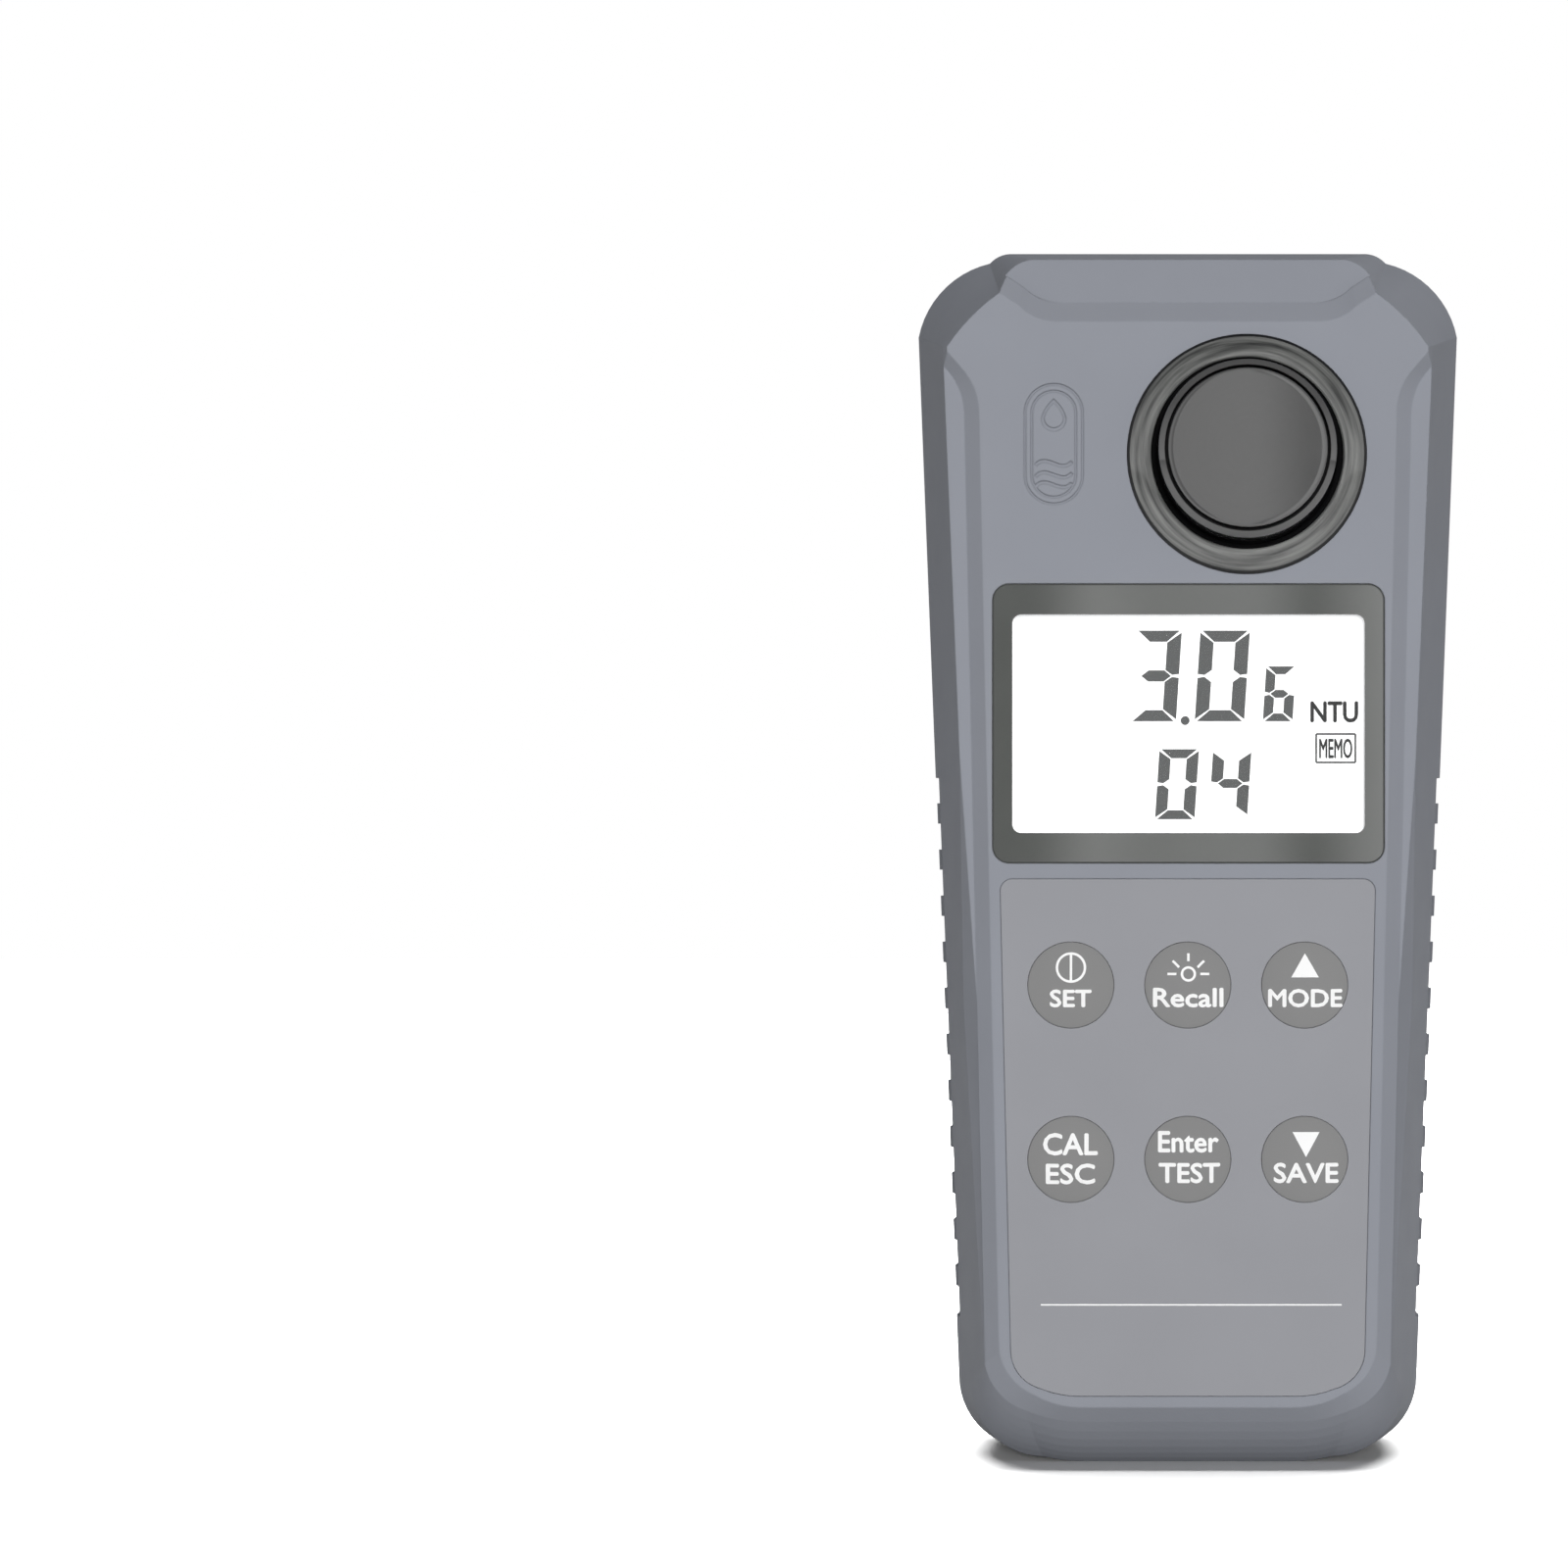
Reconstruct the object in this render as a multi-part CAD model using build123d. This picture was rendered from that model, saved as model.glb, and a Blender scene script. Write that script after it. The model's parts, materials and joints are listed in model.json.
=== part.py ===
"""Handheld turbidity meter, in millimetres, standing upright on its base.

Frame: +Z runs up the length of the meter, the front face looks along -Y and +X is to the right of a
person who looks at the display. The origin is on the base, in the plane where the two covers meet.
"""

import math
import os

from build123d import *

# Depths, along Y
FACE_Y = -20.0
SHELF_Y = -18.0
BASE_FRONT_Y = -9.0
BACK_BEND_Y = 15.0
BACK_Y = 22.0
SEAM_BEVEL = 0.3
SEAM_INSET = 0.25

# Outline of the covers: pairs of a depth and the value there, straight in between
LOW_HALF_WIDTH = ((FACE_Y, 26.4), (SHELF_Y, 28.6), (0.0, 33.2))
HIGH_HALF_WIDTH = ((FACE_Y, 33.8), (SHELF_Y, 34.5), (0.0, 39.05))
HIGH_Z = ((FACE_Y, 157.9), (0.0, 161.65))
CORNER_X = ((FACE_Y, 30.3), (0.0, 35.8))
CORNER_Z = ((FACE_Y, 162.2), (0.0, 168.2))
SHOULDER_X = ((FACE_Y, 26.4), (0.0, 28.7))
SHOULDER_Z = ((FACE_Y, 165.5), (0.0, 172.4))
LIP_X = ((FACE_Y, 21.2), (0.0, 25.9))
TOP_Z = ((FACE_Y, 169.9), (0.0, 173.75))
LOW_RUN = ((FACE_Y, 4.8), (BASE_FRONT_Y, 10.3))
LOW_RISE = ((FACE_Y, 7.7), (BASE_FRONT_Y, 11.0))
LOW_LIFT = ((FACE_Y, 1.8), (BASE_FRONT_Y, 0.72))
LOW_BEND = ((FACE_Y, 0.37), (BASE_FRONT_Y, 0.293))
BASE_HALF_FLAT = 15.0
FACE_BOTTOM_Z = 9.1
BACK_BEND_RADIUS = 7.0
BACK_DRAFT = 0.053
WALL = 2.4

# Face: the step round it, the shelves beside it and the scoop above it
STEP_RUN = 1.12
FACE_EDGE_LOW_X = 26.05
FACE_EDGE_HIGH_X = 29.25
RECESS_TOP_Z = 149.0
SCOOP_Z = 161.45
SCOOP_RISE = 1.45
SCOOP_SLOPE = 0.4
FACE_INSIDE_Y = -17.3
CAVITY_FRONT_Y = -14.5

# Display
WINDOW_X, WINDOW_Z = 0.1, 105.05
WINDOW_W, WINDOW_H, WINDOW_R = 55.0, 39.2, 2.3
WINDOW_T = 1.15
APERTURE_W, APERTURE_H = 50.4, 31.6
LCD_W, LCD_H, LCD_T = 50.8, 33.2, 1.8
BACKLIGHT_W, BACKLIGHT_H = 48.0, 26.4

# Keypad
OVERLAY_TOP = (26.3, 83.2)
OVERLAY_TOP_R = 1.65
OVERLAY_FOOT, OVERLAY_BEND, OVERLAY_KNEE = (24.8, 16.9), (23.3, 13.35), (20.6, 11.75)
OVERLAY_SAG, OVERLAY_FLAT = (17.9, 10.95), (15.0, 10.7)
OVERLAY_T = 0.5
OVERLAY_CLEARANCE = 0.08
KEY_X = 16.4
KEY_UPPER_Z, KEY_LOWER_Z = 68.35, 43.9
KEY_R = 6.0
KEY_CROWN = 0.9
KEY_CLEARANCE = 0.1
KEY_FLANGE_R = 7.0
KEYS = {
    "key_power_set": (-KEY_X, KEY_UPPER_Z),
    "key_light_recall": (0.0, KEY_UPPER_Z),
    "key_up_mode": (KEY_X, KEY_UPPER_Z),
    "key_cal_esc": (-KEY_X, KEY_LOWER_Z),
    "key_enter_test": (0.0, KEY_LOWER_Z),
    "key_down_save": (KEY_X, KEY_LOWER_Z),
}

# Sample port, well and vial
PORT_X, PORT_Z = 8.3, 142.85
PORT_RING_R = 16.85
PORT_MOUTH_R = 13.4
PORT_RISE = 2.0
SEAL_R = 12.6
COVER_HOLE_R = 14.7
WELL_R = 12.3
WELL_FLOOR_Y = 16.9
WELL_BLOCK = 34.0
VIAL_R = 12.0
VIAL_FOOT_Y = 16.2
VIAL_SHOULDER_Y = -15.6
NECK_R = 9.3
NECK_MOUTH_Y = -25.6
GLASS_T = 1.3
CAP_R = 12.35
CAP_TOP_R = 11.0
CAP_GROOVE_W = 0.42
CAP_GROOVE_T = 3.2
CAP_TOP_Y = -30.5
BEAM_Y = 3.0
BEAM_R = 2.5

# Boards
BOARD_FRONT_Y, BOARD_T = -12.4, 1.6
BOARD_HALF_W = 26.5
BOARD_LOW_Z, BOARD_TOP_Z = 15.6, 125.0
BOARD_SCREWS = [(-23.6, 27.0), (23.6, 27.0), (-23.6, 83.6), (23.6, 83.6)]
DOME_R, DOME_RISE = 4.5, 0.55
SENSOR_BOARD_Y = 8.0

# Housing screws
HOUSING_SCREWS = [(-22.0, 11.4), (22.0, 11.4), (-28.8, 157.0), (28.8, 157.0)]
BOSS_R = 3.2
SCREW_R = 1.45
SCREW_HEAD_R, SCREW_HEAD_T = 2.7, 2.2
SCREW_SEAT_Y = 12.0

# Batteries and their door
CELL_R, CELL_LENGTH = 5.25, 44.5
CELL_PITCH = 10.8
CELL_Y = 12.2
CONTACT_T = 0.45
SPRING_WIRE_R, SPRING_R = 0.37, 4.2
SPRING_TURNS, SPRING_STEP = 7, 0.64
TUB_HALF_W = 22.1
TUB_FLOOR_Y = 6.4
TUB_LOW_Z, TUB_TOP_Z = 18.3, 68.4
DOOR_HALF_W = 23.5
DOOR_LOW_Z, DOOR_TOP_Z = 15.5, 82.2
DOOR_R = 4.0
DOOR_T = 1.35
LEDGE_Y = 20.15
DOOR_SCREW_Z = 77.0

# Grip strips
GRIP_LOW_Z, GRIP_TOP_Z = 20.0, 97.8
GRIP_FRONT_Y, GRIP_BACK_Y = -2.5, 12.0
GRIP_DEPTH = 1.05
GRIP_FLOOR = 0.5
GRIP_RIDGES = 11
GRIP_PITCH = 6.69
GRIP_RIDGE_H = 2.93
GRIP_FIRST_Z = 94.1

GAP = 0.05
FROM_LOW = (Align.CENTER, Align.CENTER, Align.MIN)


def between(y, knots):
    """The value at depth y on a line through the knots, level beyond its ends."""
    if y <= knots[0][0]:
        return knots[0][1]
    for (y0, v0), (y1, v1) in zip(knots, knots[1:]):
        if y <= y1:
            return v0 + (v1 - v0) * (y - y0) / (y1 - y0)
    return knots[-1][1]


def back_inset(y):
    """How far the rear cover draws in at depth y: a slight draft, then a round bend to the back."""
    if y <= BACK_BEND_Y:
        return max(y, 0.0) * BACK_DRAFT
    bend = BACK_BEND_RADIUS - math.sqrt(max(BACK_BEND_RADIUS**2 - (y - BACK_BEND_Y) ** 2, 0.0))
    return BACK_BEND_Y * BACK_DRAFT + bend


def base_height(y):
    """Height of the base at depth y: a shallow arc from the face's lower edge down to the flat."""
    if y >= BASE_FRONT_Y:
        return max(back_inset(y) - BACK_BEND_Y * BACK_DRAFT, 0.0)
    run = BASE_FRONT_Y - FACE_Y
    t = (BASE_FRONT_Y - y) / run
    return FACE_BOTTOM_Z * (0.52 * t + 0.48 * t * t)


def outline(y, inset=0.0, seam=0.0):
    """Closed face of the housing's outline at depth y, drawn in by inset, and by seam all but the base."""
    d = inset + seam + back_inset(y)
    low = between(y, LOW_HALF_WIDTH) - d
    high = between(y, HIGH_HALF_WIDTH) - d
    base = base_height(y) + inset
    run = between(y, LOW_RUN) - 0.6 * d
    rise = between(y, LOW_RISE) - 0.64 * d
    lift = between(y, LOW_LIFT) - 0.04 * d
    part_way = between(y, LOW_BEND)
    flat = (BASE_HALF_FLAT, base)
    knee = (low - run, base + lift)
    sag = ((flat[0] + knee[0]) / 2, base + 0.24 * lift)
    bend = (low - part_way * run, base + lift + part_way * (rise - lift))
    foot = (low, base + rise)
    side = (high, between(y, HIGH_Z) - 0.3 * d)
    corner = (between(y, CORNER_X) - 0.75 * d, between(y, CORNER_Z) - 0.75 * d)
    shoulder = (between(y, SHOULDER_X) - 0.3 * d, between(y, SHOULDER_Z) - 0.95 * d)
    lip = (between(y, LIP_X) - 0.3 * d, between(y, TOP_Z) - d)
    brow = (lip[0] + 0.62 * (shoulder[0] - lip[0]), lip[1] + 0.37 * (shoulder[1] - lip[1]))

    def at_right(p):
        return (p[0], y, p[1])

    def at_left(p):
        return (-p[0], y, p[1])

    edges = [
        Line(at_left(flat), at_right(flat)),
        ThreePointArc(at_right(flat), at_right(sag), at_right(knee)),
        ThreePointArc(at_right(knee), at_right(bend), at_right(foot)),
        Line(at_right(foot), at_right(side)),
        ThreePointArc(at_right(side), at_right(corner), at_right(shoulder)),
        ThreePointArc(at_right(shoulder), at_right(brow), at_right(lip)),
        Line(at_right(lip), at_left(lip)),
        ThreePointArc(at_left(lip), at_left(brow), at_left(shoulder)),
        ThreePointArc(at_left(shoulder), at_left(corner), at_left(side)),
        Line(at_left(side), at_left(foot)),
        ThreePointArc(at_left(foot), at_left(bend), at_left(knee)),
        ThreePointArc(at_left(knee), at_left(sag), at_left(flat)),
    ]
    return Face(Wire(edges))


def stack(levels, inset=0.0):
    """Solid through the outlines at the given depths. A level may be a pair of depth and seam bevel."""
    pairs = [level if isinstance(level, tuple) else (level, 0.0) for level in levels]
    return Part() + loft([outline(y, inset, seam) for y, seam in pairs], ruled=True)


def at(y):
    """Drawing plane at depth y, with x to the right and z up, that faces the front."""
    return Plane.XZ.offset(-y)


def block(sketch, front, back):
    """Solid of a sketch drawn in x and z, from depth front to depth back."""
    return Part() + extrude(at(back) * sketch, back - front)


def spot(x, z, r):
    return Pos(x, z) * Circle(r)


def rod(x, z, r, front, back):
    return block(spot(x, z, r), front, back)


def tube(x, z, outer, inner, front, back):
    return block(spot(x, z, outer) - spot(x, z, inner), front, back)


def plate(x, z, w, h, r=0.0):
    return Pos(x, z) * (RectangleRounded(w, h, r) if r else Rectangle(w, h))


def box(x0, x1, y0, y1, z0, z1):
    """Box between two corners."""
    size = Box(x1 - x0, y1 - y0, z1 - z0)
    return Pos((x0 + x1) / 2, (y0 + y1) / 2, (z0 + z1) / 2) * size


def mirrored(part):
    """The part with its mirror image on the other side of the middle plane."""
    return part + mirror(part, Plane.YZ)


def overlay_shape(grow=0.0):
    """Outline of the keypad's face sheet: small upper corners, and lower ones that bulge like the face's."""

    def left(p):
        return (-p[0], p[1])

    edges = [
        Line(left(OVERLAY_FLAT), OVERLAY_FLAT),
        ThreePointArc(OVERLAY_FLAT, OVERLAY_SAG, OVERLAY_KNEE),
        ThreePointArc(OVERLAY_KNEE, OVERLAY_BEND, OVERLAY_FOOT),
        Line(OVERLAY_FOOT, OVERLAY_TOP),
        Line(OVERLAY_TOP, left(OVERLAY_TOP)),
        Line(left(OVERLAY_TOP), left(OVERLAY_FOOT)),
        ThreePointArc(left(OVERLAY_FOOT), left(OVERLAY_BEND), left(OVERLAY_KNEE)),
        ThreePointArc(left(OVERLAY_KNEE), left(OVERLAY_SAG), left(OVERLAY_FLAT)),
    ]
    sheet = make_face(edges)
    sheet = fillet(sheet.vertices().sort_by(Axis.Y)[-2:], OVERLAY_TOP_R)
    return offset(sheet, grow) if grow else sheet


def side_recess_level(y):
    """Outline, at depth y, of what is cut away beside the face on the right."""
    e = (y - FACE_Y) * STEP_RUN
    low = (FACE_EDGE_LOW_X + e, y, -3.0)
    high = (FACE_EDGE_HIGH_X + e, y, RECESS_TOP_Z)
    bend = (FACE_EDGE_HIGH_X + 0.75 + e, y, RECESS_TOP_Z + 3.3)
    end = (FACE_EDGE_HIGH_X + 2.7 + e, y, RECESS_TOP_Z + 6.2)
    out_x = 60.0
    out_high = (out_x, y, end[2] + 1.15 * (out_x - end[0]))
    out_low = (out_x, y, -3.0)
    edges = [
        Line(low, high),
        ThreePointArc(high, bend, end),
        Line(end, out_high),
        Line(out_high, out_low),
        Line(out_low, low),
    ]
    return Face(Wire(edges))


def scoop_level(y):
    """Outline, at depth y, of the scoop above the face."""
    d = y - FACE_Y
    z = SCOOP_Z + SCOOP_RISE * d
    x = 18.5 - 0.3 * d

    def pair(px, pz):
        return (px, y, pz), (-px, y, pz)

    start, start_l = pair(x, z)
    bend, bend_l = pair(x + 2.9, z + 0.6)
    end, end_l = pair(x + 5.2, z + 2.2)
    out, out_l = pair(x + 25.0, z + 15.2)
    top, top_l = pair(x + 25.0, 190.0)
    edges = [
        Line(start_l, start),
        ThreePointArc(start, bend, end),
        Line(end, out),
        Line(out, top),
        Line(top, top_l),
        Line(top_l, out_l),
        Line(out_l, end_l),
        ThreePointArc(end_l, bend_l, start_l),
    ]
    return Face(Wire(edges))


def scoop_floor():
    """Wedge under the scoop: its floor falls back towards the top edge."""
    foot_z = SCOOP_Z + SCOOP_RISE * (SHELF_Y - FACE_Y)
    far_z = 190.0
    side = Plane.YZ * Polygon(
        (SHELF_Y, foot_z),
        (SHELF_Y - 1.0, foot_z),
        (SHELF_Y - 1.0, far_z),
        (SHELF_Y + SCOOP_SLOPE * (far_z - foot_z), far_z),
        align=None,
    )
    wedge = extrude(side, 40.0, both=True)
    plan = Part() + extrude(Pos(0, -10.0, 0) * scoop_level(SHELF_Y), 40.0, dir=(0, 1, 0))
    return (Part() + wedge) & plan


def flank_cut():
    """Sliver off the right flank, where the shelf beside the face fades into the side wall."""

    def foot_x(z):
        return 28.22 + 0.0222 * z

    def triangle(z):
        x = foot_x(z)
        corners = [(x, SHELF_Y, z), (x + 9.0, SHELF_Y - 1.0, z), (x + 4.6, SHELF_Y + 9.0, z)]
        return Face(Wire([Line(a, b) for a, b in zip(corners, corners[1:] + corners[:1])]))

    tip = Vertex(32.35, SHELF_Y, 104.0)
    return Part() + loft([triangle(-2.0), triangle(66.0), tip], ruled=True)


def badge_grooves():
    """Fine engraved capsule with a water drop and three waves, left of the port."""
    x, z, groove = -18.8, 144.25, 0.32
    shapes = []
    for w, h in ((8.4, 17.1), (6.5, 15.2)):
        shapes.append(SlotOverall(h, w) - SlotOverall(h - 2 * groove, w - 2 * groove))
    capsule = Rot(0, 0, 90) * (shapes[0] + shapes[1])
    drops = []
    for size in (1.0, 0.76):
        tip, low = (0, 2.35 * size), (0, -2.2 * size)
        side, flank = (1.75 * size, -0.35 * size), (1.1 * size, 1.15 * size)
        left_side, left_flank = (-side[0], side[1]), (-flank[0], flank[1])
        lobe = ThreePointArc(left_side, low, side)
        right = ThreePointArc(side, flank, tip)
        left = ThreePointArc(tip, left_flank, left_side)
        drops.append(make_face([lobe, right, left]))
    drop = Pos(0, 4.0) * (drops[0] - drops[1])
    wave_points = [(-2.55, -0.25), (-1.3, 0.35), (0.0, 0.0), (1.3, -0.35), (2.55, 0.25)]
    wave = trace(Spline(*wave_points), 0.45)
    waves = [Pos(0, drop_z) * wave for drop_z in (-2.7, -4.3, -5.7)]
    art = capsule + drop + waves
    return block(Pos(x, z) * art, FACE_Y - 1.0, FACE_Y + 0.3)


def grip_zone(front=GRIP_FRONT_Y, back=GRIP_BACK_Y, shrink=0.0):
    """Box round the right grip strip."""
    return box(28.0, 45.0, front + shrink, back - shrink, GRIP_LOW_Z + shrink, GRIP_TOP_Z - shrink)


def grip_channel():
    """What is cut from both covers for the right grip strip."""
    levels = [GRIP_FRONT_Y - 1.0, 0.0, GRIP_BACK_Y + 1.0]
    ring = stack(levels, -2.0) - stack(levels, GRIP_DEPTH)
    return ring & grip_zone()


def grip_strip():
    """Right grip strip: a soft sheet with raised ridges across it."""
    levels = [GRIP_FRONT_Y - 1.0, 0.0, GRIP_BACK_Y + 1.0]
    inner = stack(levels, GRIP_DEPTH - GAP)
    zone = grip_zone(shrink=GAP)
    strip = (stack(levels, GRIP_FLOOR) - inner) & zone
    raised = (stack(levels, 0.1) - inner) & zone
    for n in range(GRIP_RIDGES):
        top = GRIP_FIRST_Z - n * GRIP_PITCH
        strip += raised & box(25.0, 45.0, -10.0, 20.0, top - GRIP_RIDGE_H, top)
    return strip


def front_cover():
    """Front shell: the outline stack, cut to its face, shelves and scoop, hollowed and bossed."""
    bottom_bend = [BASE_FRONT_Y + (SHELF_Y - BASE_FRONT_Y) * n / 6 for n in range(6, -1, -1)]
    levels = [FACE_Y] + bottom_bend + [-SEAM_BEVEL, (0.0, SEAM_INSET)]
    cover = stack(levels)
    recess = Part() + loft([side_recess_level(y) for y in (FACE_Y - 1.0, SHELF_Y)], ruled=True)
    cover -= mirrored(recess)
    cover -= Part() + loft([scoop_level(y) for y in (FACE_Y - 1.0, SHELF_Y)], ruled=True)
    cover -= scoop_floor()
    cover -= mirrored(flank_cut())
    cover -= mirrored(grip_channel())

    cavity = stack([CAVITY_FRONT_Y, BASE_FRONT_Y, 0.0], WALL)
    pocket_corners = [(-25.8, 12.6), (25.8, 12.6), (28.4, 160.6), (-28.4, 160.6)]
    pocket = make_face(FilletPolyline(*pocket_corners, radius=3.0, close=True))
    cavity += block(pocket, FACE_INSIDE_Y, CAVITY_FRONT_Y + 1.0)
    cover -= cavity

    bosses = Part()
    for x, z in HOUSING_SCREWS:
        bosses += rod(x, z, BOSS_R, -15.5, 0.0)
    for x, z in BOARD_SCREWS:
        bosses += rod(x, z, 2.4, FACE_INSIDE_Y - 0.5, BOARD_FRONT_Y)
    bosses += tube(PORT_X, PORT_Z, COVER_HOLE_R + 1.8, COVER_HOLE_R, FACE_INSIDE_Y - 0.5, -16.4)
    cover += bosses & stack([FACE_Y + 1.0, SHELF_Y, BASE_FRONT_Y, 0.0], 0.6)

    for x, z in HOUSING_SCREWS:
        cover -= rod(x, z, SCREW_R + GAP, -12.5, 1.0)
    for x, z in BOARD_SCREWS:
        cover -= rod(x, z, 1.05, -16.6, 0.0)
    w, h, r = (size + 2 * GAP for size in (WINDOW_W, WINDOW_H, WINDOW_R))
    cover -= block(plate(WINDOW_X, WINDOW_Z, w, h, r), -25.0, -18.65)
    cover -= block(plate(WINDOW_X, WINDOW_Z, APERTURE_W, APERTURE_H, 1.2), -25.0, -15.0)
    cover -= block(overlay_shape(OVERLAY_CLEARANCE), -25.0, FACE_Y + OVERLAY_T + GAP)
    for x, z in KEYS.values():
        cover -= rod(x, z, KEY_R + KEY_CLEARANCE, -25.0, -15.0)
    cover -= rod(PORT_X, PORT_Z, COVER_HOLE_R, -25.0, -15.0)
    cover -= badge_grooves()
    return cover


def tub_box(grow, front, back):
    """Box round the battery tub, grown by grow on its sides."""
    return box(-TUB_HALF_W - grow, TUB_HALF_W + grow, front, back, TUB_LOW_Z - grow, TUB_TOP_Z + grow)


def door_shape(grow=0.0):
    middle = (DOOR_LOW_Z + DOOR_TOP_Z) / 2
    w, h = 2 * (DOOR_HALF_W + grow), DOOR_TOP_Z - DOOR_LOW_Z + 2 * grow
    return plate(0.0, middle, w, h, DOOR_R + grow)


def door_pegs(grow=0.0):
    """Two pegs that locate the door's lower edge in the cover."""
    pegs = Part()
    for x in (-14.0, 14.0):
        pegs += box(x - 3 - grow, x + 3 + grow, 17.0 - grow, 20.7, 15.9 - grow / 2, 16.7 + grow / 2)
    return pegs


def rear_cover():
    """Rear shell: hollow, with the battery tub, screw bosses and the seat of the door."""
    angles = (0, 18, 36, 52, 66, 78, 90)
    bend = [BACK_BEND_Y + BACK_BEND_RADIUS * math.sin(math.radians(a)) for a in angles]
    cover = stack([(0.0, SEAM_INSET), SEAM_BEVEL] + bend)
    cover -= mirrored(grip_channel())
    cover -= stack([0.0, BACK_BEND_Y, 18.5, 19.8], WALL)

    inside = stack([0.2, BACK_BEND_Y, 18.5, 20.5], 0.8)
    extra = box(-DOOR_HALF_W - 0.6, DOOR_HALF_W + 0.6, 5.2, 20.5, 14.7, DOOR_TOP_Z + 1.4)
    for x, z in HOUSING_SCREWS:
        extra += rod(x, z, BOSS_R, 0.0, 20.5)
    cover += extra & inside
    cover -= tub_box(0.0, TUB_FLOOR_Y, 30.0)
    cover -= block(door_shape(0.15), LEDGE_Y, 30.0)
    cover -= door_pegs(0.2)
    cover -= rod(0.0, DOOR_SCREW_Z, 4.9, 18.0, 30.0)
    cover -= rod(0.0, DOOR_SCREW_Z, 1.6, 10.5, 30.0)
    for x, z in HOUSING_SCREWS:
        cover -= rod(x, z, SCREW_R + 0.25, -1.0, 30.0)
        cover -= rod(x, z, SCREW_HEAD_R + 0.3, SCREW_SEAT_Y, 30.0)
    cover -= block_ring(1.3, 2.05, -1.0, 0.8)
    return cover


def block_ring(outer, inner, front, back):
    """Closed band that follows the seam, between two insets of the outline."""
    band = make_face(outline(0.0, outer).outer_wire()) - make_face(outline(0.0, inner).outer_wire())
    return Part() + extrude(Pos(0, front, 0) * band, back - front, dir=(0, 1, 0))


def housing_gasket():
    return block_ring(1.38, 1.97, 0.04, 0.76)


def screws(places, r, head_r, head_t, seat, tip):
    """Pan-head screws whose shanks run forwards from the seat to the tip, with a cross recess."""
    group = Part()
    for x, z in places:
        screw = rod(x, z, r, tip, seat) + rod(x, z, head_r, seat, seat + head_t)
        for w, h in ((head_r * 1.3, 0.6), (0.6, head_r * 1.3)):
            screw -= block(plate(x, z, w, h), seat + head_t * 0.4, seat + head_t + 1.0)
        group += screw
    return group


def ring_of(profile):
    """Solid of revolution about the port's axis, of a profile of (radius, depth) points."""
    shape = Plane.XY * Polygon(*profile, align=None)
    turned = revolve(shape, Axis.Y)
    return Part() + Pos(PORT_X, 0, PORT_Z) * turned


def port_ring():
    """Bezel of the port: a glossy convex collar on the face with a sleeve through the cover."""
    face, mouth, sleeve = FACE_Y, PORT_MOUTH_R, COVER_HOLE_R - 0.1
    profile = [
        (mouth, -16.5),
        (sleeve, -16.5),
        (sleeve, face - 0.01),
        (PORT_RING_R, face - 0.01),
        (PORT_RING_R, face - 0.5),
        (PORT_RING_R - 0.45, face - 1.0),
        (PORT_RING_R - 1.5, face - 1.55),
        (PORT_RING_R - 2.5, face - 1.9),
        (mouth + 0.35, face - PORT_RISE),
        (mouth, face - PORT_RISE + 0.35),
    ]
    return ring_of(profile)


def port_seal():
    """Soft ring inside the bezel that keeps stray light out round the vial's cap."""
    outer = PORT_MOUTH_R - GAP
    profile = [
        (SEAL_R, -17.0),
        (outer, -17.0),
        (outer, -21.2),
        (outer - 0.3, -21.45),
        (SEAL_R + 0.2, -21.2),
        (SEAL_R, -20.8),
    ]
    return ring_of(profile)


def beam_bore(direction, length, r):
    """Bore from the well's axis outwards along the direction, at the beam's depth."""
    plane = Plane(origin=(PORT_X, BEAM_Y, PORT_Z), z_dir=direction)
    return Part() + plane * Cylinder(r, length, align=FROM_LOW)


def cell_holder():
    """Optical block: a deep well for the vial with bores for the lamp and the two detectors."""
    half = WELL_BLOCK / 2
    holder = block(plate(PORT_X, PORT_Z, WELL_BLOCK, WELL_BLOCK, 5.0), -15.9, 18.6)
    for direction in ((-1, 0, 0), (1, 0, 0), (0, 0, -1)):
        holder += beam_bore(direction, half + 3.0, 4.4)
    holder -= rod(PORT_X, PORT_Z, WELL_R, -20.0, WELL_FLOOR_Y)
    for direction in ((-1, 0, 0), (1, 0, 0), (0, 0, -1)):
        holder -= beam_bore(direction, half + 9.0, BEAM_R + GAP)
    return holder


def optic_can(direction, dome):
    """Five-millimetre optical can in a bore of the holder, lens end towards the vial, with two leads."""
    start = WELL_R + 1.9
    seat = WELL_BLOCK / 2 + 3.0
    plane = Plane(origin=(PORT_X, BEAM_Y, PORT_Z), z_dir=direction)
    can = Part() + Pos(0, 0, start + dome) * Cylinder(BEAM_R, seat - start - dome + 0.1, align=FROM_LOW)
    if dome:
        can += Pos(0, 0, start + BEAM_R) * Sphere(BEAM_R)
    can += Pos(0, 0, seat + 0.02) * Cylinder(BEAM_R + 0.5, 1.0, align=FROM_LOW)
    for side in (-1.27, 1.27):
        can += Pos(side, 0, seat + 0.9) * Box(0.5, 0.5, 3.2, align=FROM_LOW)
    return plane * can


def beam_lens():
    """Small flat lens that closes the lamp's bore towards the vial."""
    plane = Plane(origin=(PORT_X, BEAM_Y, PORT_Z), z_dir=(-1, 0, 0))
    disc = Pos(0, 0, WELL_R + 0.5) * Cylinder(BEAM_R, 1.2, align=FROM_LOW)
    return plane * (Part() + disc)


def vial_cushion():
    return tube(PORT_X, PORT_Z, 9.0, 5.0, VIAL_FOOT_Y + GAP, WELL_FLOOR_Y - GAP)


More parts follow.
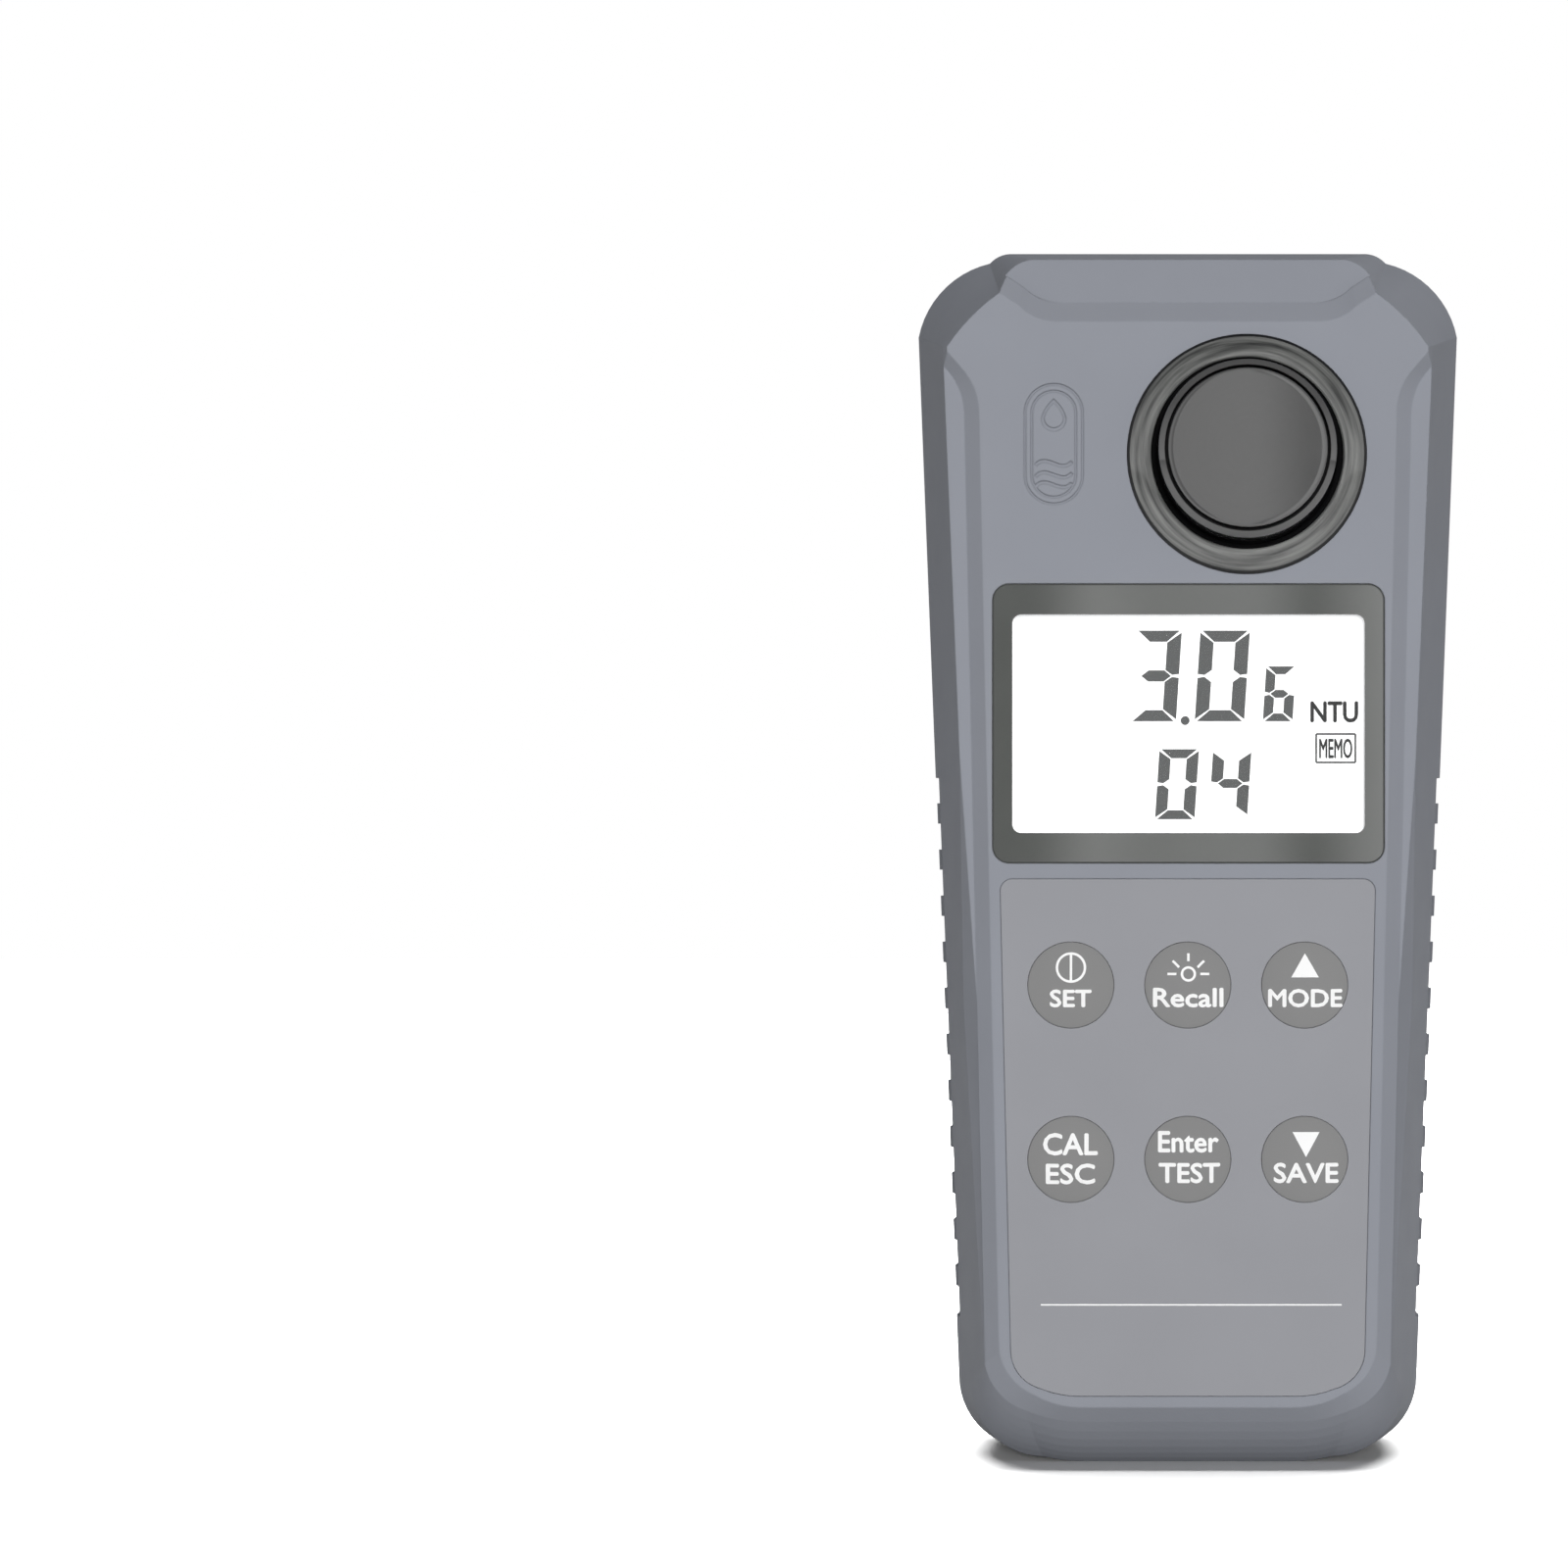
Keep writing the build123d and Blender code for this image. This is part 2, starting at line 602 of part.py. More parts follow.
def sample_vial():
    """Glass vial: a thin-walled cup with a thick foot, a round shoulder and a beaded neck."""
    foot, shoulder, mouth = VIAL_FOOT_Y, VIAL_SHOULDER_Y, NECK_MOUTH_Y
    inner = VIAL_R - GLASS_T
    bore = NECK_R - GLASS_T
    outside = [
        (0.0, foot),
        (VIAL_R - 1.0, foot),
        (VIAL_R, foot - 1.0),
        (VIAL_R, shoulder + 1.6),
        (VIAL_R - 0.7, shoulder + 0.4),
        (NECK_R, shoulder - 1.0),
    ]
    for n in range(2):
        bead = shoulder - 3.0 - 3.0 * n
        crest = NECK_R + 0.5
        outside += [(NECK_R, bead + 0.9), (crest, bead + 0.3), (crest, bead - 0.3), (NECK_R, bead - 0.9)]
    outside += [(NECK_R, mouth), (bore, mouth), (bore, shoulder + 0.6), (inner, shoulder + 2.6)]
    return ring_of(outside + [(inner, foot - 2.4), (inner - 0.8, foot - 1.6), (0.0, foot - 1.6)])


def cap_liner():
    return rod(PORT_X, PORT_Z, NECK_R + 0.6, NECK_MOUTH_Y - 0.75, NECK_MOUTH_Y - 0.02)


def vial_cap():
    """Screw cap of the vial: a wide skirt, a groove and a raised disc on top."""
    skirt_y, inner_top = -16.9, NECK_MOUTH_Y - 0.8
    inner = NECK_R + 0.85
    step_y = CAP_TOP_Y + 0.9
    groove_y = CAP_TOP_Y + CAP_GROOVE_T
    groove = CAP_TOP_R + CAP_GROOVE_W
    profile = [
        (0.0, inner_top),
        (inner, inner_top),
        (inner, skirt_y),
        (CAP_R, skirt_y),
        (CAP_R, step_y + 0.5),
        (CAP_R - 0.35, step_y + 0.1),
        (groove, step_y),
        (groove, groove_y),
        (CAP_TOP_R, groove_y),
        (CAP_TOP_R, CAP_TOP_Y + 0.2),
        (CAP_TOP_R - 0.25, CAP_TOP_Y),
        (0.0, CAP_TOP_Y),
    ]
    return ring_of(profile)


def display_window():
    lens = block(plate(WINDOW_X, WINDOW_Z, WINDOW_W, WINDOW_H, WINDOW_R), FACE_Y, FACE_Y + WINDOW_T)
    return chamfer(lens.faces().sort_by(Axis.Y)[0].edges(), 0.2)


def window_gasket():
    outer = plate(WINDOW_X, WINDOW_Z, WINDOW_W - 0.6, WINDOW_H - 0.6, 1.8)
    inner = plate(WINDOW_X, WINDOW_Z, APERTURE_W + 0.4, APERTURE_H + 0.4, 1.2)
    return block(outer - inner, FACE_Y + WINDOW_T + 0.02, -18.67)


def lcd_panel():
    """Two glass layers of the display, the rear one a little taller for its contacts."""
    front = FACE_INSIDE_Y + 0.1
    glass = block(plate(WINDOW_X, WINDOW_Z, LCD_W, LCD_H - 4.0, 0.4), front, front + LCD_T / 2)
    glass += block(plate(WINDOW_X, WINDOW_Z, LCD_W, LCD_H, 0.4), front + LCD_T / 2, front + LCD_T)
    return glass


def lcd_backlight():
    front = FACE_INSIDE_Y + 0.1 + LCD_T + GAP
    return block(plate(WINDOW_X, WINDOW_Z, BACKLIGHT_W, BACKLIGHT_H, 0.6), front, BOARD_FRONT_Y - 0.45)


def lcd_holder():
    """Frame that holds the display glass and its rubber contacts against the board."""
    outer = plate(WINDOW_X, WINDOW_Z, LCD_W + 2.8, LCD_H + 2.8, 1.0)
    inner = plate(WINDOW_X, WINDOW_Z, LCD_W + 0.4, LCD_H + 0.4, 0.6)
    return block(outer - inner, FACE_INSIDE_Y + GAP, BOARD_FRONT_Y - 0.02)


def zebra_strips():
    strips = Part()
    front = FACE_INSIDE_Y + 0.1 + LCD_T + 0.02
    for side in (-1, 1):
        z = WINDOW_Z + side * (LCD_H / 2 - 1.5)
        strips += block(plate(WINDOW_X, z, 46.0, 2.2), front, BOARD_FRONT_Y - 0.02)
    return strips


def keypad_overlay():
    sheet = block(overlay_shape(), FACE_Y, FACE_Y + OVERLAY_T)
    for x, z in KEYS.values():
        sheet -= rod(x, z, KEY_R + KEY_CLEARANCE, -25.0, -15.0)
    return sheet


def keypad_web():
    """Silicone sheet behind the face that joins the keys, open round each of them."""
    front = FACE_INSIDE_Y + GAP
    middle_z = (KEY_UPPER_Z + KEY_LOWER_Z) / 2
    web = block(plate(0.0, middle_z, 50.0, 42.0, 3.0), front, front + 1.2)
    for x, z in KEYS.values():
        web -= rod(x, z, KEY_FLANGE_R + 0.2, -25.0, -10.0)
    return web


def key(x, z):
    """Soft key: a domed top in its hole, a flange behind the face and a plunger to the dome switch."""
    rim_y = FACE_Y - 0.15
    crown = (KEY_R**2 + KEY_CROWN**2) / (2 * KEY_CROWN)
    flange_y = FACE_INSIDE_Y + GAP
    top = ThreePointArc(
        (0.0, rim_y - KEY_CROWN),
        (KEY_R / 2, rim_y - KEY_CROWN + crown - math.sqrt(crown**2 - (KEY_R / 2) ** 2)),
        (KEY_R, rim_y),
    )
    corners = [
        (KEY_R, rim_y),
        (KEY_R, flange_y),
        (KEY_FLANGE_R, flange_y),
        (KEY_FLANGE_R, flange_y + 1.0),
        (2.2, flange_y + 1.0),
        (2.2, BOARD_FRONT_Y - DOME_RISE - 0.85),
        (0.0, BOARD_FRONT_Y - DOME_RISE - 0.85),
        (0.0, rim_y - KEY_CROWN),
    ]
    profile = make_face([top] + [Line(a, b) for a, b in zip(corners, corners[1:])])
    return Part() + Pos(x, 0, z) * revolve(profile, Axis.Y)


def dome_switches():
    """Six snap domes on the board, one under each key."""
    domes = Part()
    sphere_r = (DOME_R**2 + DOME_RISE**2) / (2 * DOME_RISE)
    for x, z in KEYS.values():
        ball = Pos(x, BOARD_FRONT_Y - DOME_RISE + sphere_r, z) * Sphere(sphere_r)
        domes += ball & rod(x, z, DOME_R + 1.0, BOARD_FRONT_Y - DOME_RISE - 1.0, BOARD_FRONT_Y)
    return domes


def main_board():
    middle = (BOARD_LOW_Z + BOARD_TOP_Z) / 2
    shape = plate(0.0, middle, 2 * BOARD_HALF_W, BOARD_TOP_Z - BOARD_LOW_Z, 2.5)
    board = block(shape, BOARD_FRONT_Y, BOARD_FRONT_Y + BOARD_T)
    for x, z in BOARD_SCREWS:
        board -= rod(x, z, 1.2, -25.0, 0.0)
    return board


def on_board(x, z, w, h, t, r=0.0):
    """Component that stands on the rear of the main board."""
    back = BOARD_FRONT_Y + BOARD_T
    return block(plate(x, z, w, h, r), back, back + t)


def processor_chip():
    chip = on_board(-4.0, 92.0, 12.0, 12.0, 1.6)
    back = BOARD_FRONT_Y + BOARD_T
    for n in range(8):
        shift = -4.55 + 1.3 * n
        for reach in (-6.6, 6.6):
            chip += block(plate(-4.0 + shift, 92.0 + reach, 0.5, 1.2), back, back + 0.5)
            chip += block(plate(-4.0 + reach, 92.0 + shift, 1.2, 0.5), back, back + 0.5)
    return chip


def board_components():
    """Regulator, memory, crystal, capacitors and the two sockets on the main board."""
    parts = Part()
    for x, z, w, h, t in (
        (12.0, 98.0, 5.0, 6.0, 1.5),
        (12.0, 88.0, 6.5, 4.5, 1.3),
        (-18.0, 84.0, 4.0, 11.0, 3.2),
        (8.0, 74.0, 7.0, 3.4, 2.2),
        (-14.0, 60.0, 3.2, 1.8, 1.0),
        (-9.0, 60.0, 3.2, 1.8, 1.0),
        (-16.0, 118.5, 12.0, 4.0, 3.0),
        (18.0, 84.0, 5.0, 7.0, 4.2),
    ):
        parts += on_board(x, z, w, h, t)
    for x, z in ((-18.0, 70.0), (18.0, 66.0)):
        parts += on_board(x, z, 6.3, 6.3, 5.4, 3.1)
    return parts


def buzzer():
    back = BOARD_FRONT_Y + BOARD_T
    can = rod(0.0, 40.0, 6.0, back, back + 6.5)
    return can - rod(0.0, 40.0, 1.0, back + 4.5, back + 7.0)


def sensor_board():
    """Amplifier board beside the well."""
    return block(plate(-20.6, 141.0, 23.0, 24.0, 1.5), SENSOR_BOARD_Y, SENSOR_BOARD_Y + BOARD_T)


def sensor_chip():
    back = SENSOR_BOARD_Y + BOARD_T
    return block(plate(-22.0, 144.0, 8.0, 6.0), back, back + 1.5)


def sensor_socket():
    return block(plate(-22.0, 132.5, 10.0, 3.6), SENSOR_BOARD_Y - 3.0, SENSOR_BOARD_Y)


def sensor_cable():
    """Flat cable from the amplifier board down to the main board."""
    top = box(-25.5, -18.5, SENSOR_BOARD_Y - 2.2, SENSOR_BOARD_Y - 1.9, 126.0, 130.7)
    fall = box(-25.5, -18.5, -6.2, SENSOR_BOARD_Y - 1.9, 126.0, 126.3)
    end = box(-25.5, -18.5, -6.5, -6.2, 118.5, 126.3)
    tail = box(-25.5, -22.0, -7.8, -6.2, 118.5, 118.8)
    return Part() + top + fall + end + tail


def cell_x(n):
    return (n - 1.5) * CELL_PITCH


def battery(n):
    """Cylindrical cell with its raised plus contact at alternating ends."""
    up = n % 2 == 0
    body = Cylinder(CELL_R, CELL_LENGTH - 1.0, align=FROM_LOW)
    body = chamfer(body.edges().filter_by(GeomType.CIRCLE), 0.4)
    cell = Part() + body + Pos(0, 0, CELL_LENGTH - 1.1) * Cylinder(1.9, 1.1, align=FROM_LOW)
    if not up:
        cell = Pos(0, 0, CELL_LENGTH) * Rot(180, 0, 0) * cell
    low_z = TUB_TOP_Z - CONTACT_T - GAP - CELL_LENGTH if up else TUB_LOW_Z + CONTACT_T + GAP
    return Pos(cell_x(n), CELL_Y, low_z) * cell


def contact_springs():
    """Conical springs at the minus end of each cell, as turns that touch one another."""
    springs = Part()
    for n in range(4):
        minus_low = n % 2 == 0
        for turn in range(SPRING_TURNS):
            rise = CONTACT_T + SPRING_WIRE_R + 0.03 + SPRING_STEP * turn
            height = TUB_LOW_Z + rise if minus_low else TUB_TOP_Z - rise
            springs += Pos(cell_x(n), CELL_Y, height) * Torus(SPRING_R - 0.3 * turn, SPRING_WIRE_R)
    return springs


def contact_plates():
    """Nickel plates at both ends of the tub: pairs of cells are bridged, the two end cells aren't."""
    single, double = 9.4, 20.2
    low_plates = [(-1.5 * CELL_PITCH, single), (0.0, double), (1.5 * CELL_PITCH, single)]
    top_plates = [(-CELL_PITCH, double), (CELL_PITCH, double)]
    front, back = CELL_Y - 4.2, CELL_Y + 4.6
    plates = Part()
    for x, w in low_plates:
        plates += box(x - w / 2, x + w / 2, front, back, TUB_LOW_Z, TUB_LOW_Z + CONTACT_T)
    for x, w in top_plates:
        plates += box(x - w / 2, x + w / 2, front, back, TUB_TOP_Z - CONTACT_T, TUB_TOP_Z)
    return plates


def battery_leads():
    """Two wires from the tub's lower corners up to the socket on the main board."""
    leads = Part()
    for n in range(2):
        x = 17.0 + 1.6 * n
        run = [(x, 3.6, 24.0), (x, 3.6, 78.0), (x, -3.0, 84.0), (x, -6.6, 84.0)]
        path = FilletPolyline(*run, radius=2.0)
        leads += sweep(Plane(origin=run[0], z_dir=(0, 0, 1)) * Circle(0.55), path=path)
    return leads


def battery_door():
    """Lift-off door with a boss for its screw and a finger rib."""
    inner_y = BACK_Y - DOOR_T
    door = block(door_shape(), inner_y, BACK_Y)
    door += rod(0.0, DOOR_SCREW_Z, 4.6, 18.3, inner_y + 0.1)
    door += door_pegs()
    door -= rod(0.0, DOOR_SCREW_Z, 3.75, BACK_Y - 1.6, 30.0)
    door -= rod(0.0, DOOR_SCREW_Z, 1.65, 10.0, 30.0)
    for n in range(5):
        z = 22.0 + 2.4 * n
        door -= block(Pos(0.0, z) * SlotOverall(20.0, 1.0), BACK_Y - 0.5, 30.0)
    return door


def door_gasket():
    middle = (DOOR_LOW_Z + 1.0 + TUB_TOP_Z + 1.1) / 2
    h = TUB_TOP_Z + 1.1 - DOOR_LOW_Z - 1.6
    outer = plate(0.0, middle + 0.3, 46.2, h, 1.5)
    inner = plate(0.0, middle + 0.3, 44.8, h - 1.4, 1.0)
    return block(outer - inner, LEDGE_Y + 0.02, BACK_Y - DOOR_T - 0.02)


def door_screw():
    """Captive screw of the door, with a slot for a coin."""
    seat = BACK_Y - 1.6
    screw = rod(0.0, DOOR_SCREW_Z, 3.5, seat + 0.02, BACK_Y - 0.1)
    screw += rod(0.0, DOOR_SCREW_Z, 1.5, 12.0, seat + 0.1)
    return screw - block(plate(0.0, DOOR_SCREW_Z, 8.0, 1.2), BACK_Y - 0.9, 30.0)


def main():
    parts = {
        "front_cover": front_cover(),
        "rear_cover": rear_cover(),
        "housing_gasket": housing_gasket(),
        "housing_screws": screws(HOUSING_SCREWS, SCREW_R, SCREW_HEAD_R, SCREW_HEAD_T, SCREW_SEAT_Y, -11.0),
        "grip_right": grip_strip(),
        "grip_left": mirror(grip_strip(), Plane.YZ),
        "display_window": display_window(),
        "window_gasket": window_gasket(),
        "lcd_panel": lcd_panel(),
        "lcd_backlight": lcd_backlight(),
        "lcd_holder": lcd_holder(),
        "zebra_strips": zebra_strips(),
        "keypad_overlay": keypad_overlay(),
        "keypad_web": keypad_web(),
        "dome_switches": dome_switches(),
        "main_board": main_board(),
        "board_screws": screws(BOARD_SCREWS, 1.0, 1.9, 1.3, BOARD_FRONT_Y + BOARD_T, -16.0),
        "processor_chip": processor_chip(),
        "board_components": board_components(),
        "buzzer": buzzer(),
        "sensor_board": sensor_board(),
        "sensor_chip": sensor_chip(),
        "sensor_socket": sensor_socket(),
        "sensor_cable": sensor_cable(),
        "port_ring": port_ring(),
        "port_seal": port_seal(),
        "cell_holder": cell_holder(),
        "infrared_led": optic_can((-1, 0, 0), 2.5),
        "beam_lens": beam_lens(),
        "transmitted_detector": optic_can((1, 0, 0), 0.0),
        "scatter_detector": optic_can((0, 0, -1), 0.0),
        "vial_cushion": vial_cushion(),
        "sample_vial": sample_vial(),
        "cap_liner": cap_liner(),
        "vial_cap": vial_cap(),
        "contact_springs": contact_springs(),
        "contact_plates": contact_plates(),
        "battery_leads": battery_leads(),
        "battery_door": battery_door(),
        "door_gasket": door_gasket(),
        "door_screw": door_screw(),
    }
    for name, (x, z) in KEYS.items():
        parts[name] = key(x, z)
    for n in range(4):
        parts[f"battery_{n + 1}"] = battery(n)

    os.makedirs("parts", exist_ok=True)
    for name, part in parts.items():
        export_step(part, f"parts/{name}.step")
        print(name, round(part.volume), len(part.solids()))


main()
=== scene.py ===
# %% [markdown]
# # A handheld turbidity meter
# The meter stands upright on its base. Its moulded covers, grip strips, display window and battery
# compartment come from the CAD frame. This script gives them their finishes, and makes the pieces
# whose smooth curves carry highlights or print: keys, port bezel, vial, cap, legends and digits.

# %% Load the frame
import json
import math

import bmesh
import bpy
import numpy as np
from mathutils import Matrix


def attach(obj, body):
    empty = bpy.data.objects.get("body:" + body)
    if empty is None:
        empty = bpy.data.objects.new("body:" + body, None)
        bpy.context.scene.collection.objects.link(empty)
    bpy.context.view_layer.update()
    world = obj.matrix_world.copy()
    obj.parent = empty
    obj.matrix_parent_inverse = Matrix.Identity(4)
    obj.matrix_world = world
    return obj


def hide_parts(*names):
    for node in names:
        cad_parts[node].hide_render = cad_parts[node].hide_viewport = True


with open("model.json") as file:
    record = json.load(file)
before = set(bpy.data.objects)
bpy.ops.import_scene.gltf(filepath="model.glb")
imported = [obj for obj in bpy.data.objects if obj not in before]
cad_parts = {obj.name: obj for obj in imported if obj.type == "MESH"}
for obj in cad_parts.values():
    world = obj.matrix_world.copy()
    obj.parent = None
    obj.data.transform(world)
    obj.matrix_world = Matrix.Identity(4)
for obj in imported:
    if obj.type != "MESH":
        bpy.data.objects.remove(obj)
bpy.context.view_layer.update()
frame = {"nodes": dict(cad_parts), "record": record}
nodes = frame["nodes"]
MM = 0.001
print("nodes loaded:", len(nodes))

# %% [markdown]
# ## The camera
# The picture was taken straight from the front, with the camera's height at the middle of the meter.
# The meter stands right of the picture's middle without leaning, so the lens is shifted sideways and
# not turned. One function turns a place in the picture into a place on the meter at a given depth.

# %% Camera, and places in the picture
PICTURE_SIDE = 1600.0
PIXELS_PER_RADIAN = 4363.8
CAMERA_Y = -620.0
CAMERA_Z = 86.25
AXIS_PX, AXIS_PY = 1212.0, 875.0
SENSOR_MM = 36.0


def seen_at(px, py, depth):
    """Millimetres x and z of a picture point, for a plane at the given depth: similar triangles."""
    scale = (depth - CAMERA_Y) / PIXELS_PER_RADIAN
    return (np.asarray(px) - AXIS_PX) * scale, CAMERA_Z + (AXIS_PY - np.asarray(py)) * scale


lens = bpy.data.cameras.new("front_camera")
lens.sensor_width = SENSOR_MM
lens.lens = SENSOR_MM * PIXELS_PER_RADIAN / PICTURE_SIDE
lens.shift_x = (PICTURE_SIDE / 2 - AXIS_PX) / PICTURE_SIDE
lens.shift_y = (AXIS_PY - PICTURE_SIDE / 2) / PICTURE_SIDE
lens.clip_start = 0.01
camera = bpy.data.objects.new("front_camera", lens)
camera.location = (0.0, CAMERA_Y * MM, CAMERA_Z * MM)
camera.rotation_euler = (math.radians(90), 0.0, 0.0)
bpy.context.scene.collection.objects.link(camera)
bpy.context.scene.camera = camera
print("lens", round(lens.lens, 2), "mm, shift", round(lens.shift_x, 4), round(lens.shift_y, 4))

# %% [markdown]
# ## Writing shaders as sums
# A shader is easier to read as a formula than as a web of nodes. A Shade wraps one value of the
# shader. Adding or multiplying Shades in Python adds the Math nodes that do the same for every point.


# %% Shader expressions
class Shade:
    """A number that the shader works out at each point; operators on it add Math nodes."""

    def __init__(self, coat, socket):
        self.coat = coat
        self.socket = socket

    def math(self, operation, *others):
        return self.coat.node("ShaderNodeMath", {"operation": operation}, [self, *others])

    def __add__(self, other):
        return self.math("ADD", other)

    def __sub__(self, other):
        return self.math("SUBTRACT", other)

    def __mul__(self, other):
        return self.math("MULTIPLY", other)

    def __truediv__(self, other):
        return self.math("DIVIDE", other)

    def __neg__(self):
        return self.math("MULTIPLY", -1.0)

    def __rsub__(self, other):
        return -self + other

    __radd__ = __add__
    __rmul__ = __mul__

    def __abs__(self):
        return self.math("ABSOLUTE")

    def above(self, level, soft=0.0):
        """0 below the level and 1 above it, with a soft step of the given width."""
        if not soft:
            return self.math("GREATER_THAN", level)
        return ((self - level) / soft + 0.5).math("MINIMUM", 1.0).math("MAXIMUM", 0.0)


class Coat:
    """One material, its Principled shader and the place of the point that it colours."""

    def __init__(self, name):
        self.material = bpy.data.materials.new(name)
        self.material.use_nodes = True
        self.tree = self.material.node_tree
        self.shader = self.tree.nodes["Principled BSDF"]
        self.place = self.node("ShaderNodeTexCoord", {}, {}, "Object").socket

    def node(self, kind, settings, inputs, output=0):
        """Adds a node, sets its settings and then its inputs, and returns one output as a Shade."""
        made = self.tree.nodes.new(kind)
        for key, value in settings.items():
            if key == "stops":
                self.stops(made.color_ramp, value)
            else:
                setattr(made, key, value)
        pairs = inputs.items() if isinstance(inputs, dict) else enumerate(inputs)
        for key, value in pairs:
            self.feed(made.inputs[key], value)
        return Shade(self, made.outputs[output])

    def stops(self, ramp, stops):
        while len(ramp.elements) > 1:
            ramp.elements.remove(ramp.elements[-1])
        ramp.elements[0].position = stops[0][0]
        for position, _ in stops[1:]:
            ramp.elements.new(position)
        for element, (_, level) in zip(ramp.elements, stops):
            element.color = grey(level)

    def feed(self, socket, value):
        if isinstance(value, Shade):
            self.tree.links.new(value.socket, socket)
        elif isinstance(value, bpy.types.NodeSocket):
            self.tree.links.new(value, socket)
        else:
            socket.default_value = value

    def set(self, **sockets):
        """Sets sockets of the Principled shader; Base_Color stands for Base Color."""
        for key, value in sockets.items():
            self.feed(self.shader.inputs[key.replace("_", " ")], value)
        return self

    def noise(self, size_mm, detail=2.0, rough=0.5):
        """Cloudy noise from 0 to 1 whose patches are about size_mm wide."""
        inputs = {"Vector": self.place, "Scale": 1000.0 / size_mm, "Detail": detail, "Roughness": rough}
        return self.node("ShaderNodeTexNoise", {}, inputs)

    def mix(self, factor, a, b):
        """The colour a where factor is 0 and b where it is 1."""
        settings = {"data_type": "RGBA", "blend_type": "MIX"}
        return self.node("ShaderNodeMix", settings, {0: factor, 6: a, 7: b}, 2)

    def axes(self):
        """The point's x, y and z in millimetres."""
        made = self.tree.nodes.new("ShaderNodeSeparateXYZ")
        self.feed(made.inputs[0], self.place)
        return [Shade(self, out) * 1000.0 for out in made.outputs]

    def bump(self, height, depth_mm, bevel_mm=0.0):
        """Tilts the surface by a height from 0 to 1, over edges that are rounded by bevel_mm."""
        inputs = {"Height": height, "Distance": depth_mm * MM, "Strength": 1.0}
        if bevel_mm:
            settings = {"samples": 6}
            inputs["Normal"] = self.node("ShaderNodeBevel", settings, {"Radius": bevel_mm * MM})
        return self.node("ShaderNodeBump", {}, inputs)


def screen(red, green, blue):
    """Linear colour of a screen colour from 0 to 255, by the sRGB curve."""
    c = np.array([red, green, blue]) / 255.0
    linear = np.where(c <= 0.04045, c / 12.92, ((c + 0.055) / 1.055) ** 2.4)
    return (*[float(v) for v in linear], 1.0)


def grey(level):
    return (level, level, level, 1.0)


def shade_of(color, factor):
    """The same colour made darker or lighter."""
    return (*[min(v * factor, 1.0) for v in color[:3]], 1.0)


print("shader helpers ready")

# %% [markdown]
# ## Studio
# The meter stands on a white floor that runs into a white background. A broad lamp in front makes the
# face the lightest surface, and dim surroundings leave the side walls and the lower edge darker. A
# second lamp lights the back and the top, and a third, for the floor alone, gives the small shadow
# under the base. Behind the camera hangs a card with soft stripes, because gloss only shows as gloss
# when there is something for it to mirror.


# %% World, floor and lamps
def studio_world(diffuse_range, gloss_range):
    """White for the camera and through glass; dimmer for other rays, and dimmest above.

    The first range holds the strength that lights dull surfaces from the front and from the sides and
    the back, the second the strength that gloss mirrors in front and behind. Both fade towards the
    ceiling.
    """
    world = bpy.data.worlds.new("studio")
    bpy.context.scene.world = world
    world.use_nodes = True
    tree = world.node_tree

    def from_node(kind, *values, **settings):
        made = tree.nodes.new(kind)
        for key, value in settings.items():
            setattr(made, key, value)
        for socket, value in zip(made.inputs, values):
            if isinstance(value, bpy.types.NodeSocket):
                tree.links.new(value, socket)
            else:
                socket.default_value = value
        return made.outputs

    def math_node(operation, *values):
        return from_node("ShaderNodeMath", *values, operation=operation)[0]

    path = from_node("ShaderNodeLightPath")
    toward = from_node("ShaderNodeSeparateXYZ", from_node("ShaderNodeTexCoord")["Generated"])
    aside = math_node("ABSOLUTE", toward["X"])
    beside = from_node("ShaderNodeMapRange", aside, 0.3, 0.9, *diffuse_range)[0]
    behind = from_node("ShaderNodeMapRange", toward["Y"], 0.1, 0.7, *diffuse_range)[0]
    diffuse = math_node("MAXIMUM", beside, behind)
    gloss = from_node("ShaderNodeMapRange", toward["Y"], -0.2, 0.6, *gloss_range)[0]
    ceiling = from_node("ShaderNodeMapRange", toward["Z"], 0.0, 0.6, 1.0, 0.08)[0]
    seen = math_node("MAXIMUM", path["Is Camera Ray"], path["Is Transmission Ray"])
    mirrored = math_node("MULTIPLY", path["Is Glossy Ray"], math_node("SUBTRACT", gloss, diffuse))
    cast = math_node("MULTIPLY", math_node("ADD", diffuse, mirrored), ceiling)
    strength = math_node("MAXIMUM", seen, cast)
    background = tree.nodes["Background"]
    tree.links.new(strength, background.inputs["Strength"])
    background.inputs["Color"].default_value = grey(1.0)


def lamp(name, place, target, size, watts):
    """Square area lamp that faces a target, all in metres; gloss doesn't mirror it."""
    data = bpy.data.lights.new(name, "AREA")
    data.size = size
    data.energy = watts
    made = bpy.data.objects.new(name, data)
    made.location = place
    aim = np.array(target) - np.array(place)
    flat = math.hypot(aim[0], aim[1])
    made.rotation_euler = (math.pi / 2 + math.atan2(aim[2], flat), 0.0, math.atan2(-aim[0], aim[1]))
    made.visible_glossy = False
    bpy.context.scene.collection.objects.link(made)
    return made


def stage_plane(name, corners):
    """Flat piece of the studio, which is no part of the meter."""
    mesh = bpy.data.meshes.new(name)
    mesh.from_pydata(corners, [], [range(len(corners))])
    made = bpy.data.objects.new(name, mesh)
    bpy.context.scene.collection.objects.link(made)
    return made


studio_world(diffuse_range=(0.12, 0.85), gloss_range=(1.0, 0.5))

